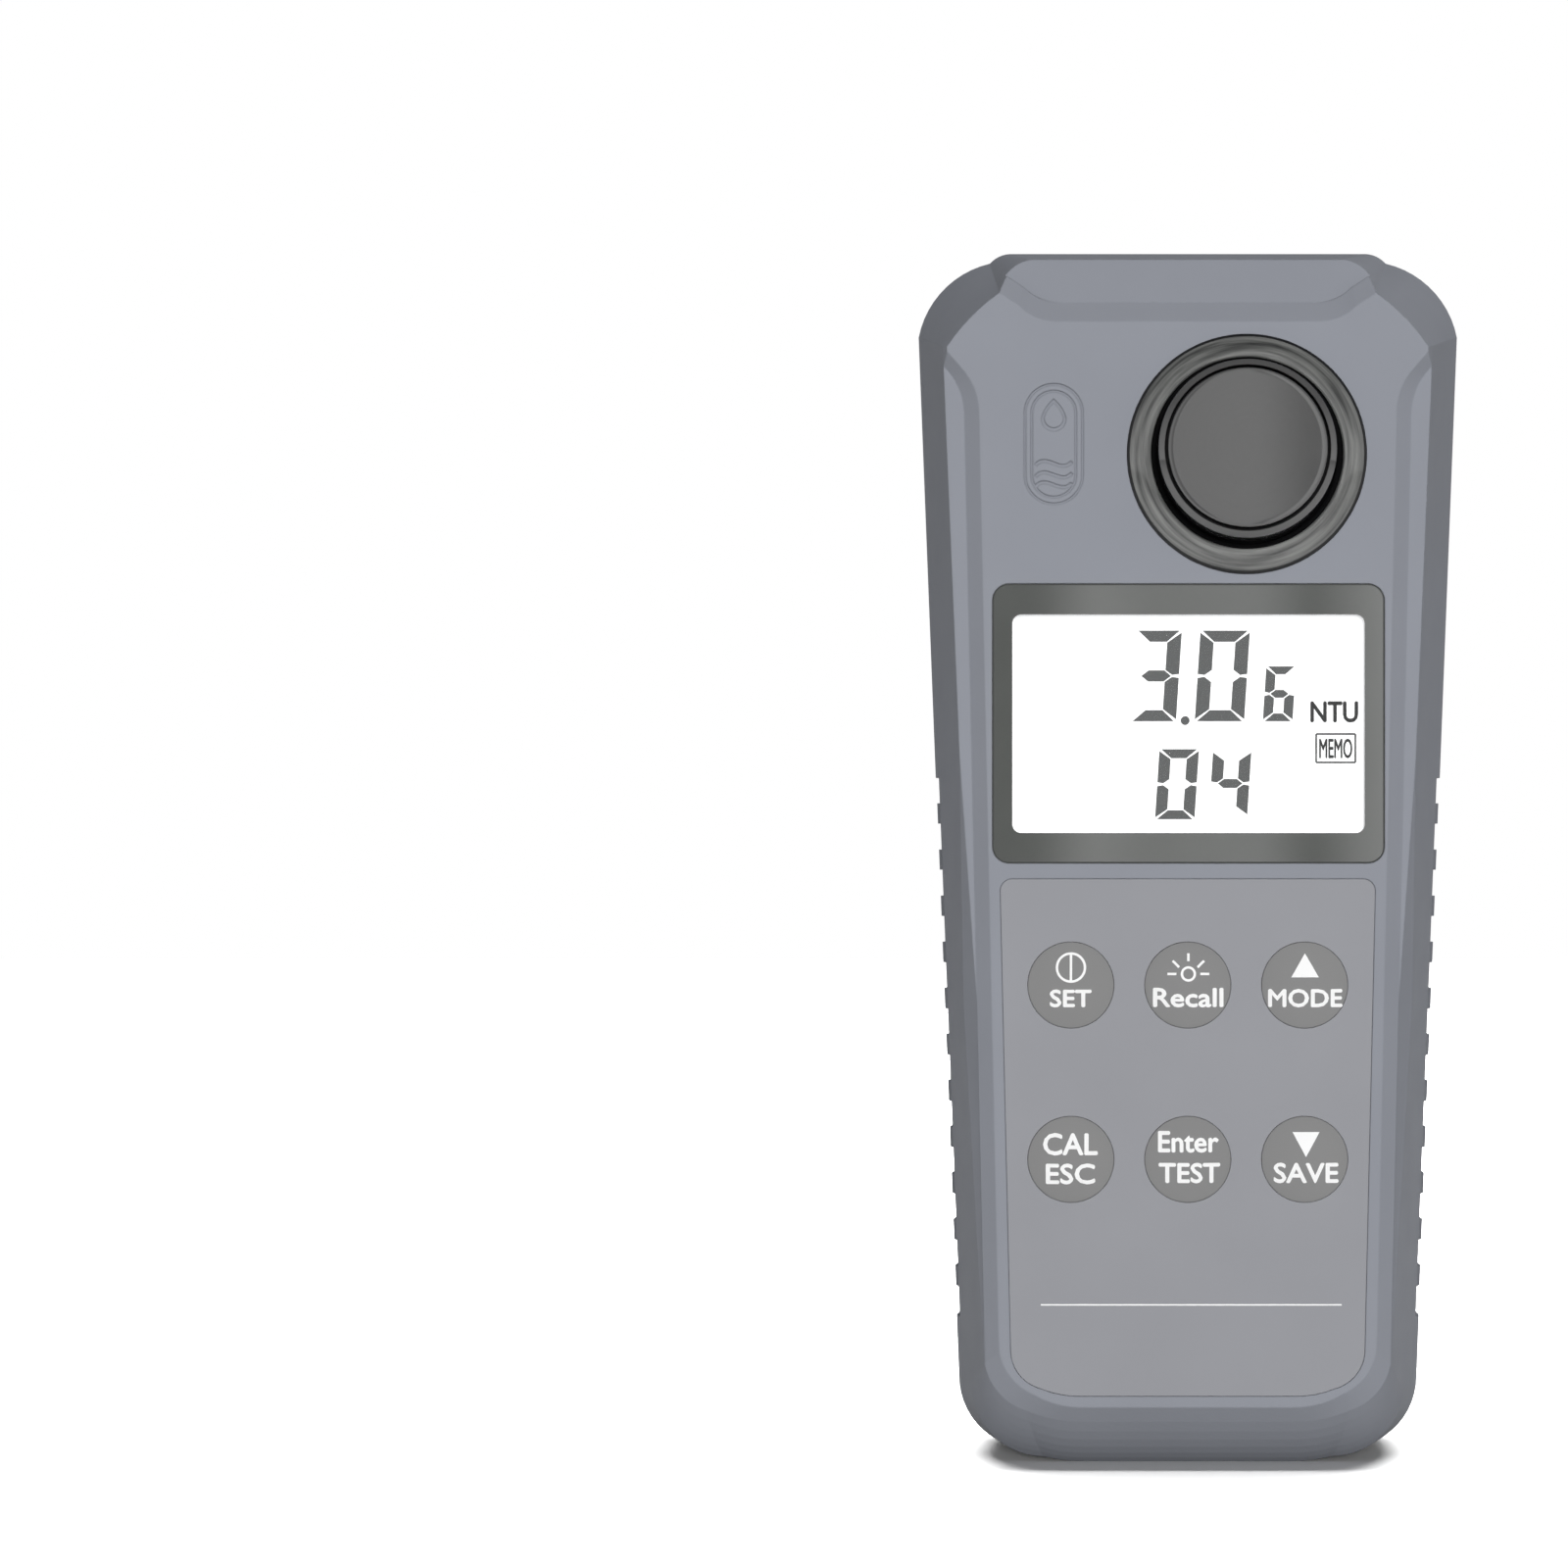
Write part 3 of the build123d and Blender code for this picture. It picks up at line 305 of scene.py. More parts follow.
FLOOR_HALF, SHADOW_REACH_MM = 3.0, 420.0
floor_corners = [(-FLOOR_HALF, -FLOOR_HALF, 0), (FLOOR_HALF, -FLOOR_HALF, 0)]
floor_corners += [(FLOOR_HALF, FLOOR_HALF, 0), (-FLOOR_HALF, FLOOR_HALF, 0)]
floor = stage_plane("floor", floor_corners)
floor_coat = Coat("floor_paper")
is_camera = floor_coat.node("ShaderNodeLightPath", {}, {}, "Is Camera Ray")
is_gloss = floor_coat.node("ShaderNodeLightPath", {}, {}, "Is Glossy Ray")
floor_x, floor_y, _ = floor_coat.axes()
from_base = (floor_x * floor_x + floor_y * floor_y).math("SQRT")
# Out of the shadow's reach the floor turns as white as the background, over half a metre.
far_off = from_base.above(SHADOW_REACH_MM, 500.0)
dim_paper = floor_coat.mix(is_gloss, grey(0.04), grey(0.25))
paper = floor_coat.mix(is_camera, dim_paper, grey(0.8))
floor_coat.set(Base_Color=paper, Roughness=0.9, Specular_IOR_Level=0.0)
floor_coat.set(Emission_Color=grey(1.0), Emission_Strength=is_camera * far_off)
floor.data.materials.append(floor_coat.material)

lamp("face_lamp", place=(0.2, -3.0, 0.35), target=(0.0, 0.0, 0.09), size=0.7, watts=82.0)
back_lamp = lamp("back_lamp", place=(0.5, 1.6, 1.5), target=(0.0, 0.0, 0.1), size=1.0, watts=30.0)
floor_lamp = lamp("floor_lamp", place=(0.0, 0.45, 1.4), target=(0, 0, 0), size=1.8, watts=125.0)
for linked_lamp, link_state in [(back_lamp, "EXCLUDE"), (floor_lamp, "INCLUDE")]:
    receivers = bpy.data.collections.new(linked_lamp.name + "_receivers")
    receivers.objects.link(floor)
    receivers.collection_objects[0].light_linking.link_state = link_state
    linked_lamp.light_linking.receiver_collection = receivers
print("floor and lamps ready")

# %% Striped card behind the camera
CARD_Y = -1.62
CARD_HALF = 0.30
card_corners = [(-CARD_HALF, CARD_Y, -0.9), (CARD_HALF, CARD_Y, -0.9)]
card_corners += [(CARD_HALF, CARD_Y, 1.1), (-CARD_HALF, CARD_Y, 1.1)]
card = stage_plane("reflection_card", card_corners)
card_coat = Coat("card_stripes")
card_x = card_coat.axes()[0] * MM / (2.0 * CARD_HALF) + 0.5
STRIPES = [
    (0.00, 0.6),
    (0.30, 0.0),
    (0.37, 0.0),
    (0.42, 0.9),
    (0.465, 0.6),
    (0.565, 0.75),
    (0.609, 0.0),
    (0.665, 1.0),
    (1.00, 0.9),
]
stripes = card_coat.node("ShaderNodeValToRGB", {"stops": STRIPES}, {"Fac": card_x})
card_coat.set(Base_Color=grey(0.0), Specular_IOR_Level=0.0)
card_coat.set(Emission_Color=stripes, Emission_Strength=1.3)
card.data.materials.append(card_coat.material)
card.visible_camera = False
card.visible_diffuse = False
card.visible_transmission = False
card.visible_shadow = False
print("card ready")

# %% [markdown]
# ## Moulded plastic, rubber and film
# The covers are spark-eroded ABS: an even blue-grey with a fine grain, slightly polished by hands. The
# grip strips are a softer, duller rubber. The sheet round the keys is a satin film. Each is a base
# colour with faint clouds in it, a roughness that varies a little, and a grain a tenth of a millimetre
# wide, over edges that the shader rounds as the mould does.

# %% Finishes of the outside
FACE_GREY = screen(143, 146, 154)
SHEET_GREY = screen(149, 150, 155)
KEY_GREY = screen(134, 134, 134)


def moulded(name, color, rough, grain_mm, depth_mm, bevel_mm, specular, clouds=0.05):
    """Plastic or rubber: clouded colour, uneven roughness and a fine grain over rounded edges."""
    coat = Coat(name)
    cloud = coat.noise(18.0, 3.0)
    grain = coat.noise(grain_mm, 2.0, 0.6)
    worn = coat.noise(5.0, 4.0)
    tone = coat.mix(cloud, shade_of(color, 1.0 - clouds), shade_of(color, 1.0 + clouds))
    coat.set(Base_Color=tone, Roughness=worn * 0.12 + (rough - 0.06), Specular_IOR_Level=specular)
    return coat.set(Normal=coat.bump(grain, depth_mm, bevel_mm))


# Colour, roughness, the grain's width and depth, the edges' radius, specular level and, for some, the
# strength of the clouds.
MOULDED = {
    "housing_plastic": (FACE_GREY, 0.56, 0.22, 0.01, 0.35, 0.12),
    "grip_rubber": (shade_of(FACE_GREY, 0.93), 0.72, 0.16, 0.015, 0.25, 0.1),
    "overlay_sheet": (SHEET_GREY, 0.45, 0.12, 0.004, 0.05, 0.2),
    "key_silicone": (KEY_GREY, 0.55, 0.14, 0.006, 0.0, 0.2),
    "dark_rubber": (screen(12, 12, 13), 0.6, 0.2, 0.02, 0.0, 0.08),
    "inner_black": (screen(26, 26, 28), 0.55, 0.25, 0.015, 0.2, 0.3),
    "chip_black": (screen(34, 34, 36), 0.5, 0.2, 0.01, 0.05, 0.3),
    "light_guide": (screen(238, 238, 234), 0.35, 0.4, 0.01, 0.1, 0.4, 0.02),
    "lead_red": (screen(170, 40, 34), 0.4, 0.3, 0.01, 0.0, 0.35),
    "legend_ink": (screen(247, 247, 247), 0.45, 0.2, 0.002, 0.0, 0.3, 0.01),
    "segment_dark": (screen(82, 84, 84), 0.5, 0.3, 0.001, 0.0, 0.1, 0.02),
}
coats = {name: moulded(name, *values) for name, values in MOULDED.items()}
print("moulded finishes:", len(coats))

# %% [markdown]
# ## Gloss: window, bezel and cap
# The window is clear acrylic with a grey border printed behind it, so one sheet has two looks: the
# border is opaque, and inside a rounded rectangle the sheet lets the display show. The bezel and the
# cap are polished smoky plastic. The cap's colour has faint streaks that follow the turning marks;
# on the bezel the light and dark streaks are painted reflections. Each also has a black ring of
# painted shade, at the bezel's outer edge and in the groove round the cap's disc.

# %% Glossy finishes
WINDOW_MIDDLE_X, WINDOW_MIDDLE_Z = 0.1, 105.05
VIEW_HALF_W, VIEW_HALF_H, VIEW_CORNER = 24.75, 15.35, 1.25
PORT_X, PORT_Z = 8.3, 142.85


def window_finish():
    """Printed border outside a rounded rectangle and clear sheet inside it.

    Distance to the rectangle: the length of the part of the offset from its corner's centre that is
    positive, less the corner's radius.
    """
    coat = Coat("window_gloss")
    x, _, z = coat.axes()
    over_x = (abs(x - WINDOW_MIDDLE_X) - (VIEW_HALF_W - VIEW_CORNER)).math("MAXIMUM", 0.0)
    over_z = (abs(z - WINDOW_MIDDLE_Z) - (VIEW_HALF_H - VIEW_CORNER)).math("MAXIMUM", 0.0)
    far = (over_x * over_x + over_z * over_z).math("SQRT")
    border = far.above(VIEW_CORNER, 0.06)
    cloud = coat.noise(9.0, 2.0)
    ink = coat.mix(cloud, screen(88, 90, 88), screen(95, 97, 95))
    coat.set(Base_Color=coat.mix(border, grey(1.0), ink), Alpha=border * 0.97 + 0.03)
    coat.set(Roughness=cloud * 0.02 + 0.03, Specular_IOR_Level=0.75)
    return coat.set(Coat_Weight=border * 0.6, Coat_Roughness=0.05)


def polished(name, dark, light, painted_shade_ring, rough, coat_weight):
    """Smoky gloss between two greys, streaked round the port's axis, with a black ring of painted shade
    on it. Strong streaks, as on the bezel, are painted reflections; faint ones, as on the cap, are
    turning marks.

    The streaks are noise in a space of the distance from the axis and the direction from it. There
    the noise changes fast with distance and slowly with direction.
    """
    coat = Coat(name)
    x, _, z = coat.axes()
    right, up = x - PORT_X, z - PORT_Z
    from_axis = (right * right + up * up).math("SQRT")
    polar = [from_axis * 1.6, right / from_axis * 1.3, up / from_axis * 1.3]
    place = coat.node("ShaderNodeCombineXYZ", {}, polar)
    # Streaks in the colour: faint turning marks on the cap, painted reflections on the bezel.
    turning_marks_and_reflections = coat.node("ShaderNodeTexNoise", {}, {"Vector": place, "Scale": 1.0, "Detail": 4.0})
    tone = coat.mix((turning_marks_and_reflections - 0.5) * 2.4 + 0.5, dark, light)
    # Painted shade: a black ring where the edge or the groove would fall into shade.
    ring_starts, ring_ends = painted_shade_ring
    ring = from_axis.above(ring_starts, 0.04) - from_axis.above(ring_ends, 0.04)
    coat.set(Base_Color=coat.mix(ring, tone, screen(5, 5, 6)), Specular_IOR_Level=0.8)
    coat.set(Roughness=coat.noise(3.0) * 0.03 + rough + ring * 0.5)
    return coat.set(Coat_Weight=coat_weight - ring * coat_weight, Coat_Roughness=0.04)


coats["window_gloss"] = window_finish()
# The bezel's far-apart greys make its streaks painted reflections.
bezel_reflection_greys = screen(44, 45, 45), screen(124, 125, 123)
# The black ring at the bezel's outer edge is painted shade.
coats["port_gloss"] = polished("port_gloss", *bezel_reflection_greys, (16.42, 17.5), rough=0.16, coat_weight=0.4)
# The cap's close greys give faint turning marks; its black ring round the disc is painted shade.
cap_greys = screen(83, 83, 83), screen(84, 84, 84)
coats["cap_gloss"] = polished("cap_gloss", *cap_greys, (10.98, 11.52), rough=0.03, coat_weight=0.15)
print("glossy finishes ready")

# %% [markdown]
# ## Display glass
# The display looks white because the panel is given a weak glow of its own: painted light that
# stands in for the backlight behind it. The panel is nearly white, and the digits lie on it as dark
# segments.

# %% Display and metal finishes
lcd_coat = Coat("lcd_glass")
lcd_cloud = lcd_coat.noise(12.0)
lcd_coat.set(Base_Color=lcd_coat.mix(lcd_cloud, (0.90, 0.91, 0.91, 1.0), (0.93, 0.94, 0.94, 1.0)))
lcd_coat.set(Roughness=lcd_cloud * 0.05 + 0.25)
# Painted glow: the panel emits light in place of the backlight.
lcd_coat.set(Emission_Color=grey(1.0), Emission_Strength=0.45)
coats["lcd_glass"] = lcd_coat


def metal(name, color, rough, brush_mm):
    """Metal with fine uneven polish."""
    coat = Coat(name)
    polish = coat.noise(brush_mm, 3.0)
    tone = coat.mix(polish, shade_of(color, 0.88), shade_of(color, 1.08))
    coat.set(Base_Color=tone, Metallic=1.0, Roughness=polish * 0.2 + rough)
    return coat.set(Normal=coat.bump(polish, 0.004, 0.08))


coats["screw_steel"] = metal("screw_steel", screen(178, 178, 180), 0.25, 0.5)
coats["contact_nickel"] = metal("contact_nickel", screen(205, 202, 192), 0.15, 1.2)


def board_finish():
    """Green solder mask with narrow lighter tracks and plated pads."""
    coat = Coat("board_green")
    x, _, z = coat.axes()
    bend = coat.noise(22.0, 1.0)
    lane = ((x + z * 0.35 + bend * 26.0) * 2.6).math("SINE").above(0.82, 0.05)
    settings = {"feature": "F1"}
    spots = coat.node("ShaderNodeTexVoronoi", settings, {"Vector": coat.place, "Scale": 260.0})
    pads = (1.0 - spots).above(0.86, 0.03)
    green = coat.mix(lane, screen(22, 92, 56), screen(40, 122, 74))
    coat.set(Base_Color=coat.mix(pads, green, screen(190, 160, 90)), Roughness=0.45 - pads * 0.2)
    return coat.set(Metallic=pads)


CELL_MIDDLE_Z, SLEEVE_HALF = 43.35, 20.6
BAND_UP, BAND_HALF = 14.0, 4.0


def cell_finish():
    """Battery: bare steel at both ends and a dark sleeve with one lighter band between them."""
    coat = Coat("cell_sleeve")
    up = coat.axes()[2] - CELL_MIDDLE_Z
    sleeve = 1.0 - abs(up).above(SLEEVE_HALF, 0.1)
    off_band = abs(up - BAND_UP).above(BAND_HALF, 0.1)
    film = coat.mix(off_band, screen(198, 202, 205), screen(44, 48, 56))
    coat.set(Base_Color=coat.mix(sleeve, screen(190, 190, 190), film), Metallic=1.0 - sleeve)
    return coat.set(Roughness=coat.noise(2.0) * 0.1 + 0.25)


def clear(name, color, rough):
    """Clear glass or resin."""
    coat = Coat(name)
    haze = coat.noise(6.0)
    coat.set(Base_Color=coat.mix(haze, color, shade_of(color, 1.02)), Roughness=haze * 0.02 + rough)
    return coat.set(Transmission_Weight=1.0, IOR=1.5)


coats["board_green"] = board_finish()
coats["cell_sleeve"] = cell_finish()
coats["lens_clear"] = clear("lens_clear", (0.93, 0.95, 0.98, 1.0), 0.03)
coats["vial_glass"] = clear("vial_glass", (0.96, 0.985, 0.98, 1.0), 0.01)
print("all finishes:", len(coats))

# %% [markdown]
# ## Finishes on the CAD nodes
# Every node of the frame names a material slot. The finishes carry the slots' names, so one loop
# dresses all the nodes, and none is left in its plain colour.

# %% Dress the nodes
for subpart in frame["record"]["subparts"]:
    node = nodes[subpart["node"]]
    node.data.materials.clear()
    node.data.materials.append(coats[subpart["material_slot"]].material)

# %% [markdown]
# ## Turned pieces
# The port's bezel, its seal, the vial and its cap are all turned shapes round one axis. Each is a
# profile of radius and depth, with small arcs in place of its corners, carried round the axis. The
# arcs are what catches the light, and a sharp corner would show none.


# %% Profiles and surfaces of revolution
def rounded(points, radii, steps=5):
    """The polyline with an arc at each inner corner.

    At a corner with unit directions a and b to its neighbours, a quadratic curve runs from corner +
    r a to corner + r b: (1-t)^2 start + 2 t (1-t) corner + t^2 end.
    """
    points = np.array(points, float)
    t = np.linspace(0.0, 1.0, steps)[:, None]
    run = [points[:1]]
    for before, corner, after, radius in zip(points, points[1:], points[2:], radii):
        to_before = before - corner
        to_after = after - corner
        reach_before = min(radius / np.linalg.norm(to_before), 0.45)
        reach_after = min(radius / np.linalg.norm(to_after), 0.45)
        start = corner + to_before * reach_before
        end = corner + to_after * reach_after
        run.append((1 - t) ** 2 * start + 2 * t * (1 - t) * corner + t**2 * end)
    run.append(points[-1:])
    return np.vstack(run)


SMOOTH_DEG = 40.0


def make_piece(name, points, faces, coat, slot, body, replaced=()):
    """Mesh object from points in millimetres, dressed, shaded smooth and riding on its body."""
    mesh = bpy.data.meshes.new(name)
    mesh.from_pydata((np.asarray(points) * MM).tolist(), [], faces)
    mesh.validate()
    mesh.update()
    mesh.shade_smooth()
    mesh.set_sharp_from_angle(angle=math.radians(SMOOTH_DEG))
    mesh.materials.append(coat.material)
    made = bpy.data.objects.new(name, mesh)
    bpy.context.scene.collection.objects.link(made)
    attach(made, body)
    if replaced:
        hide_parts(*replaced)
    return made


def turned(profile, x, z, around=96, closed=False):
    """Points and faces of a profile (radius, depth) carried round an axis along Y.

    Point (i, j) is (x + r_i cos a_j, depth_i, z + r_i sin a_j). An open profile starts and ends on
    the axis, where a fan of triangles closes the pole.
    """
    profile = np.asarray(profile, float)
    angle = np.linspace(0.0, 2 * np.pi, around, endpoint=False)
    rows = profile if closed else profile[1:-1]
    r, y = rows[:, 0][:, None], rows[:, 1][:, None]
    grid = np.stack(
        [x + r * np.cos(angle), y + 0.0 * angle, z + r * np.sin(angle)], axis=-1
    ).reshape(-1, 3)
    count = len(rows)
    last = count if closed else count - 1
    i, j = np.meshgrid(np.arange(last), np.arange(around), indexing="ij")
    below, beside = (i + 1) % count, (j + 1) % around
    quads = np.stack(
        [i * around + j, i * around + beside, below * around + beside, below * around + j], axis=-1
    ).reshape(-1, 4)
    faces = quads.tolist()
    points = grid
    if not closed:
        j = np.arange(around)
        beside = (j + 1) % around
        first_pole, last_pole = len(grid), len(grid) + 1
        end_row = (count - 1) * around
        faces += np.stack([np.full(around, first_pole), beside, j], axis=-1).tolist()
        faces += np.stack([np.full(around, last_pole), end_row + j, end_row + beside], axis=-1).tolist()
        poles = [[x, profile[0, 1], z], [x, profile[-1, 1], z]]
        points = np.vstack([grid, poles])
    return points, faces


def outward(points, faces):
    """The faces turned over if their signed volume, the sum of a . (b x c) / 6, is negative."""
    tris = np.array([[f[0], f[k], f[k + 1]] for f in faces for k in range(1, len(f) - 1)])
    a, b, c = (points[tris[:, n]] for n in range(3))
    volume = np.einsum("ij,ij->i", a, np.cross(b, c)).sum() / 6.0
    return faces if volume > 0 else [list(reversed(f)) for f in faces]


def turned_piece(name, profile, place, slot, body, replaced, closed=False, around=96):
    """Solid of revolution in the finish of its slot, in place of one CAD node."""
    points, faces = turned(profile, *place, around, closed)
    faces = outward(points, faces)
    make_piece(name, points, faces, coats[slot], slot, body, [replaced])
    print(name, "faces", len(faces))


# %% Port bezel and seal
PORT = (PORT_X, PORT_Z)
FACE_Y = -20.0
BEZEL_R, MOUTH_R, SLEEVE_R = 16.85, 13.4, 14.6
BEZEL_RISE = 2.0


def closed_rounded(points, radii, steps=5):
    """A closed profile with an arc at every corner."""
    wrapped = [points[-1], *points, points[0]]
    return rounded(wrapped, radii, steps)[1:-1]


bezel_profile = [
    (MOUTH_R, -16.5),
    (SLEEVE_R, -16.5),
    (SLEEVE_R, FACE_Y - 0.01),
    (BEZEL_R, FACE_Y - 0.01),
    (BEZEL_R, FACE_Y - 0.5),
    (BEZEL_R - 0.45, FACE_Y - 1.0),
    (BEZEL_R - 1.5, FACE_Y - 1.55),
    (BEZEL_R - 2.5, FACE_Y - 1.9),
    (MOUTH_R, FACE_Y - BEZEL_RISE),
]
bezel_radii = [0.1, 0.1, 0.02, 0.05, 0.25, 0.5, 0.5, 0.5, 0.35]
bezel_curve = closed_rounded(bezel_profile, bezel_radii)
turned_piece("port_bezel", bezel_curve, PORT, "port_gloss", "housing", "port_ring", True, 128)

SEAL_IN_R, SEAL_OUT_R, SEAL_BACK_Y = 12.6, 13.35, -17.0
seal_profile = [(SEAL_IN_R, SEAL_BACK_Y), (SEAL_OUT_R, SEAL_BACK_Y)]
seal_profile += [(SEAL_OUT_R, FACE_Y - 1.3), (SEAL_IN_R, FACE_Y - 1.0)]
seal_curve = closed_rounded(seal_profile, [0.1, 0.1, 0.3, 0.3])
turned_piece("light_seal", seal_curve, PORT, "dark_rubber", "housing", "port_seal", True, 128)

# %% Vial and cap
VIAL_R, NECK_R, GLASS_T = 12.0, 9.3, 1.3
FOOT_Y, SHOULDER_Y, RIM_Y = 16.2, -15.6, -25.6
vial_profile = [
    (0.0, FOOT_Y),
    (VIAL_R, FOOT_Y),
    (VIAL_R, SHOULDER_Y),
    (NECK_R, SHOULDER_Y - 1.0),
    (NECK_R, SHOULDER_Y - 2.1),
    (NECK_R + 0.5, SHOULDER_Y - 3.0),
    (NECK_R, SHOULDER_Y - 3.9),
    (NECK_R, SHOULDER_Y - 5.1),
    (NECK_R + 0.5, SHOULDER_Y - 6.0),
    (NECK_R, SHOULDER_Y - 6.9),
    (NECK_R, RIM_Y),
    (NECK_R - GLASS_T, RIM_Y),
    (NECK_R - GLASS_T, SHOULDER_Y + 0.6),
    (VIAL_R - GLASS_T, SHOULDER_Y + 2.6),
    (VIAL_R - GLASS_T, FOOT_Y - 1.6),
    (0.0, FOOT_Y - 1.6),
]
vial_radii = [1.0, 1.6, 0.5, 0.3, 0.5, 0.3, 0.3, 0.5, 0.3, 0.3, 0.3, 0.6, 0.8, 1.0]
vial_curve = rounded(vial_profile, vial_radii)
turned_piece("vial_body", vial_curve, PORT, "vial_glass", "vial", "sample_vial")

CAP_R, DISC_R, CAP_TOP_Y = 12.35, 11.0, -30.5
GROOVE_R, STEP_Y, GROOVE_Y = 11.42, -29.6, -27.3
cap_profile = [
    (0.0, -26.4),
    (NECK_R + 0.85, -26.4),
    (NECK_R + 0.85, -16.9),
    (CAP_R, -16.9),
    (CAP_R, STEP_Y + 0.75),
    (GROOVE_R, STEP_Y),
    (GROOVE_R, GROOVE_Y),
    (DISC_R, GROOVE_Y),
    (DISC_R, CAP_TOP_Y),
    (0.0, CAP_TOP_Y),
]
cap_radii = [0.3, 0.2, 0.2, 0.2, 0.08, 0.05, 0.05, 0.3]
cap_curve = rounded(cap_profile, cap_radii)
keeps_disc_flat = (DISC_R - 0.8, CAP_TOP_Y)
cap_curve = np.vstack([cap_curve[:-1], keeps_disc_flat, cap_curve[-1:]])
turned_piece("cap_shell", cap_curve, PORT, "cap_gloss", "cap", "vial_cap", around=128)

# %% [markdown]
# ## Keys
# Each key is a soft dome that stands a little out of the sheet. The same profile serves all six. A
# flange behind the face keeps the key in, and a plunger reaches towards the dome switch on the board.

# %% Six soft keys
KEY_R, KEY_CROWN, KEY_RIM_Y = 6.05, 0.9, FACE_Y - 0.15
CROWN_R = (KEY_R**2 + KEY_CROWN**2) / (2 * KEY_CROWN)
FLANGE_R, FLANGE_FRONT_Y, FLANGE_BACK_Y = 7.0, -17.25, -16.25
PLUNGER_R, PLUNGER_END_Y = 2.2, -13.8
KEY_X, UPPER_Z, LOWER_Z = 16.4, 68.35, 43.9
key_places = {
    "power_set": (-KEY_X, UPPER_Z),
    "light_recall": (0.0, UPPER_Z),
    "up_mode": (KEY_X, UPPER_Z),
    "cal_esc": (-KEY_X, LOWER_Z),
    "enter_test": (0.0, LOWER_Z),
    "down_save": (KEY_X, LOWER_Z),
}


def dome_y(r):
    """Depth of the key's top at a distance r from its middle: a shallow sphere."""
    return KEY_RIM_Y - KEY_CROWN + CROWN_R - np.sqrt(CROWN_R**2 - np.minimum(r, KEY_R) ** 2)


def key_profile():
    """Half outline of a key: the crown, its rim, the flange and the plunger."""
    r = np.linspace(0.0, KEY_R - 0.12, 14)
    top = np.stack([r, dome_y(r)], axis=-1)
    rest = [
        (KEY_R, dome_y(KEY_R) + 0.02),
        (KEY_R, FLANGE_FRONT_Y),
        (FLANGE_R, FLANGE_FRONT_Y),
        (FLANGE_R, FLANGE_BACK_Y),
        (PLUNGER_R, FLANGE_BACK_Y),
        (PLUNGER_R, PLUNGER_END_Y),
        (0.0, PLUNGER_END_Y),
    ]
    below = rounded([tuple(top[-1]), *rest], [0.15, 0.05, 0.1, 0.1, 0.1, 0.2], 3)
    return np.vstack([top, below[1:]])


for label, place in key_places.items():
    body = f"key_{label}_body"
    turned_piece(
        f"keytop_{label}", key_profile(), place, "key_silicone", body, f"key_{label}", around=64
    )

# %% [markdown]
# ## Print on the keys
# The legends are white ink a few hundredths of a millimetre thick. Letters come from Blender's own
# font, fitted to the room that they have on the key. Symbols are drawn as ribbons of even width. Both
# are flat outlines at first, cut into small pieces and laid on the dome, so that they follow it.

# %% Flat art: letters, ribbons and polygons
INK_T = 0.02


def letters(text, left, right, top, bottom, spread=0.7):
    """Flat mesh of a word, stretched into a box of picture points.

    Four copies, each moved by spread to one side, make the strokes bolder.
    """
    curve = bpy.data.curves.new("word", "FONT")
    curve.body = text
    curve.resolution_u = 3
    word = bpy.data.objects.new("word", curve)
    bpy.context.scene.collection.objects.link(word)
    bpy.context.view_layer.update()
    mesh = bpy.data.meshes.new_from_object(word.evaluated_get(bpy.context.evaluated_depsgraph_get()))
    points = np.empty(len(mesh.vertices) * 3)
    mesh.vertices.foreach_get("co", points)
    points = points.reshape(-1, 3)[:, :2]
    faces = [list(face.vertices) for face in mesh.polygons]
    bpy.data.objects.remove(word)
    share = (points - points.min(0)) / np.ptp(points, axis=0)
    width, height = right - left - 2 * spread, bottom - top - 2 * spread
    px = left + spread + share[:, 0] * width
    py = bottom - spread - share[:, 1] * height
    word_points = np.stack([px, py], axis=-1)
    steps = [(-spread, 0.0), (spread, 0.0), (0.0, -spread), (0.0, spread)]
    return gathered(*[(word_points + step, faces) for step in steps])


def ribbon(path, width, closed=False):
    """Flat strip of even width along a path: each point moved half the width to both sides."""
    path = np.asarray(path, float)
    if closed:
        along = np.roll(path, -1, 0) - np.roll(path, 1, 0)
    else:
        along = np.gradient(path, axis=0)
    along /= np.linalg.norm(along, axis=1)[:, None]
    across = np.stack([-along[:, 1], along[:, 0]], axis=-1) * width / 2
    points = np.vstack([path + across, path - across])
    count = len(path)
    i = np.arange(count if closed else count - 1)
    after = (i + 1) % count
    faces = np.stack([i, after, after + count, i + count], axis=-1).tolist()
    return points, faces


def circle(px, py, radius, steps=40):
    angle = np.linspace(0, 2 * np.pi, steps, endpoint=False)
    return np.stack([px + radius * np.cos(angle), py + radius * np.sin(angle)], axis=-1)


def polygon(*corners):
    return np.array(corners, float), [list(range(len(corners)))]


def gathered(*shapes):
    """Several flat shapes as one set of points and faces."""
    points, faces, start = [], [], 0
    for shape_points, shape_faces in shapes:
        points.append(shape_points)
        faces += [[start + index for index in face] for face in shape_faces]
        start += len(shape_points)
    return np.vstack(points), faces


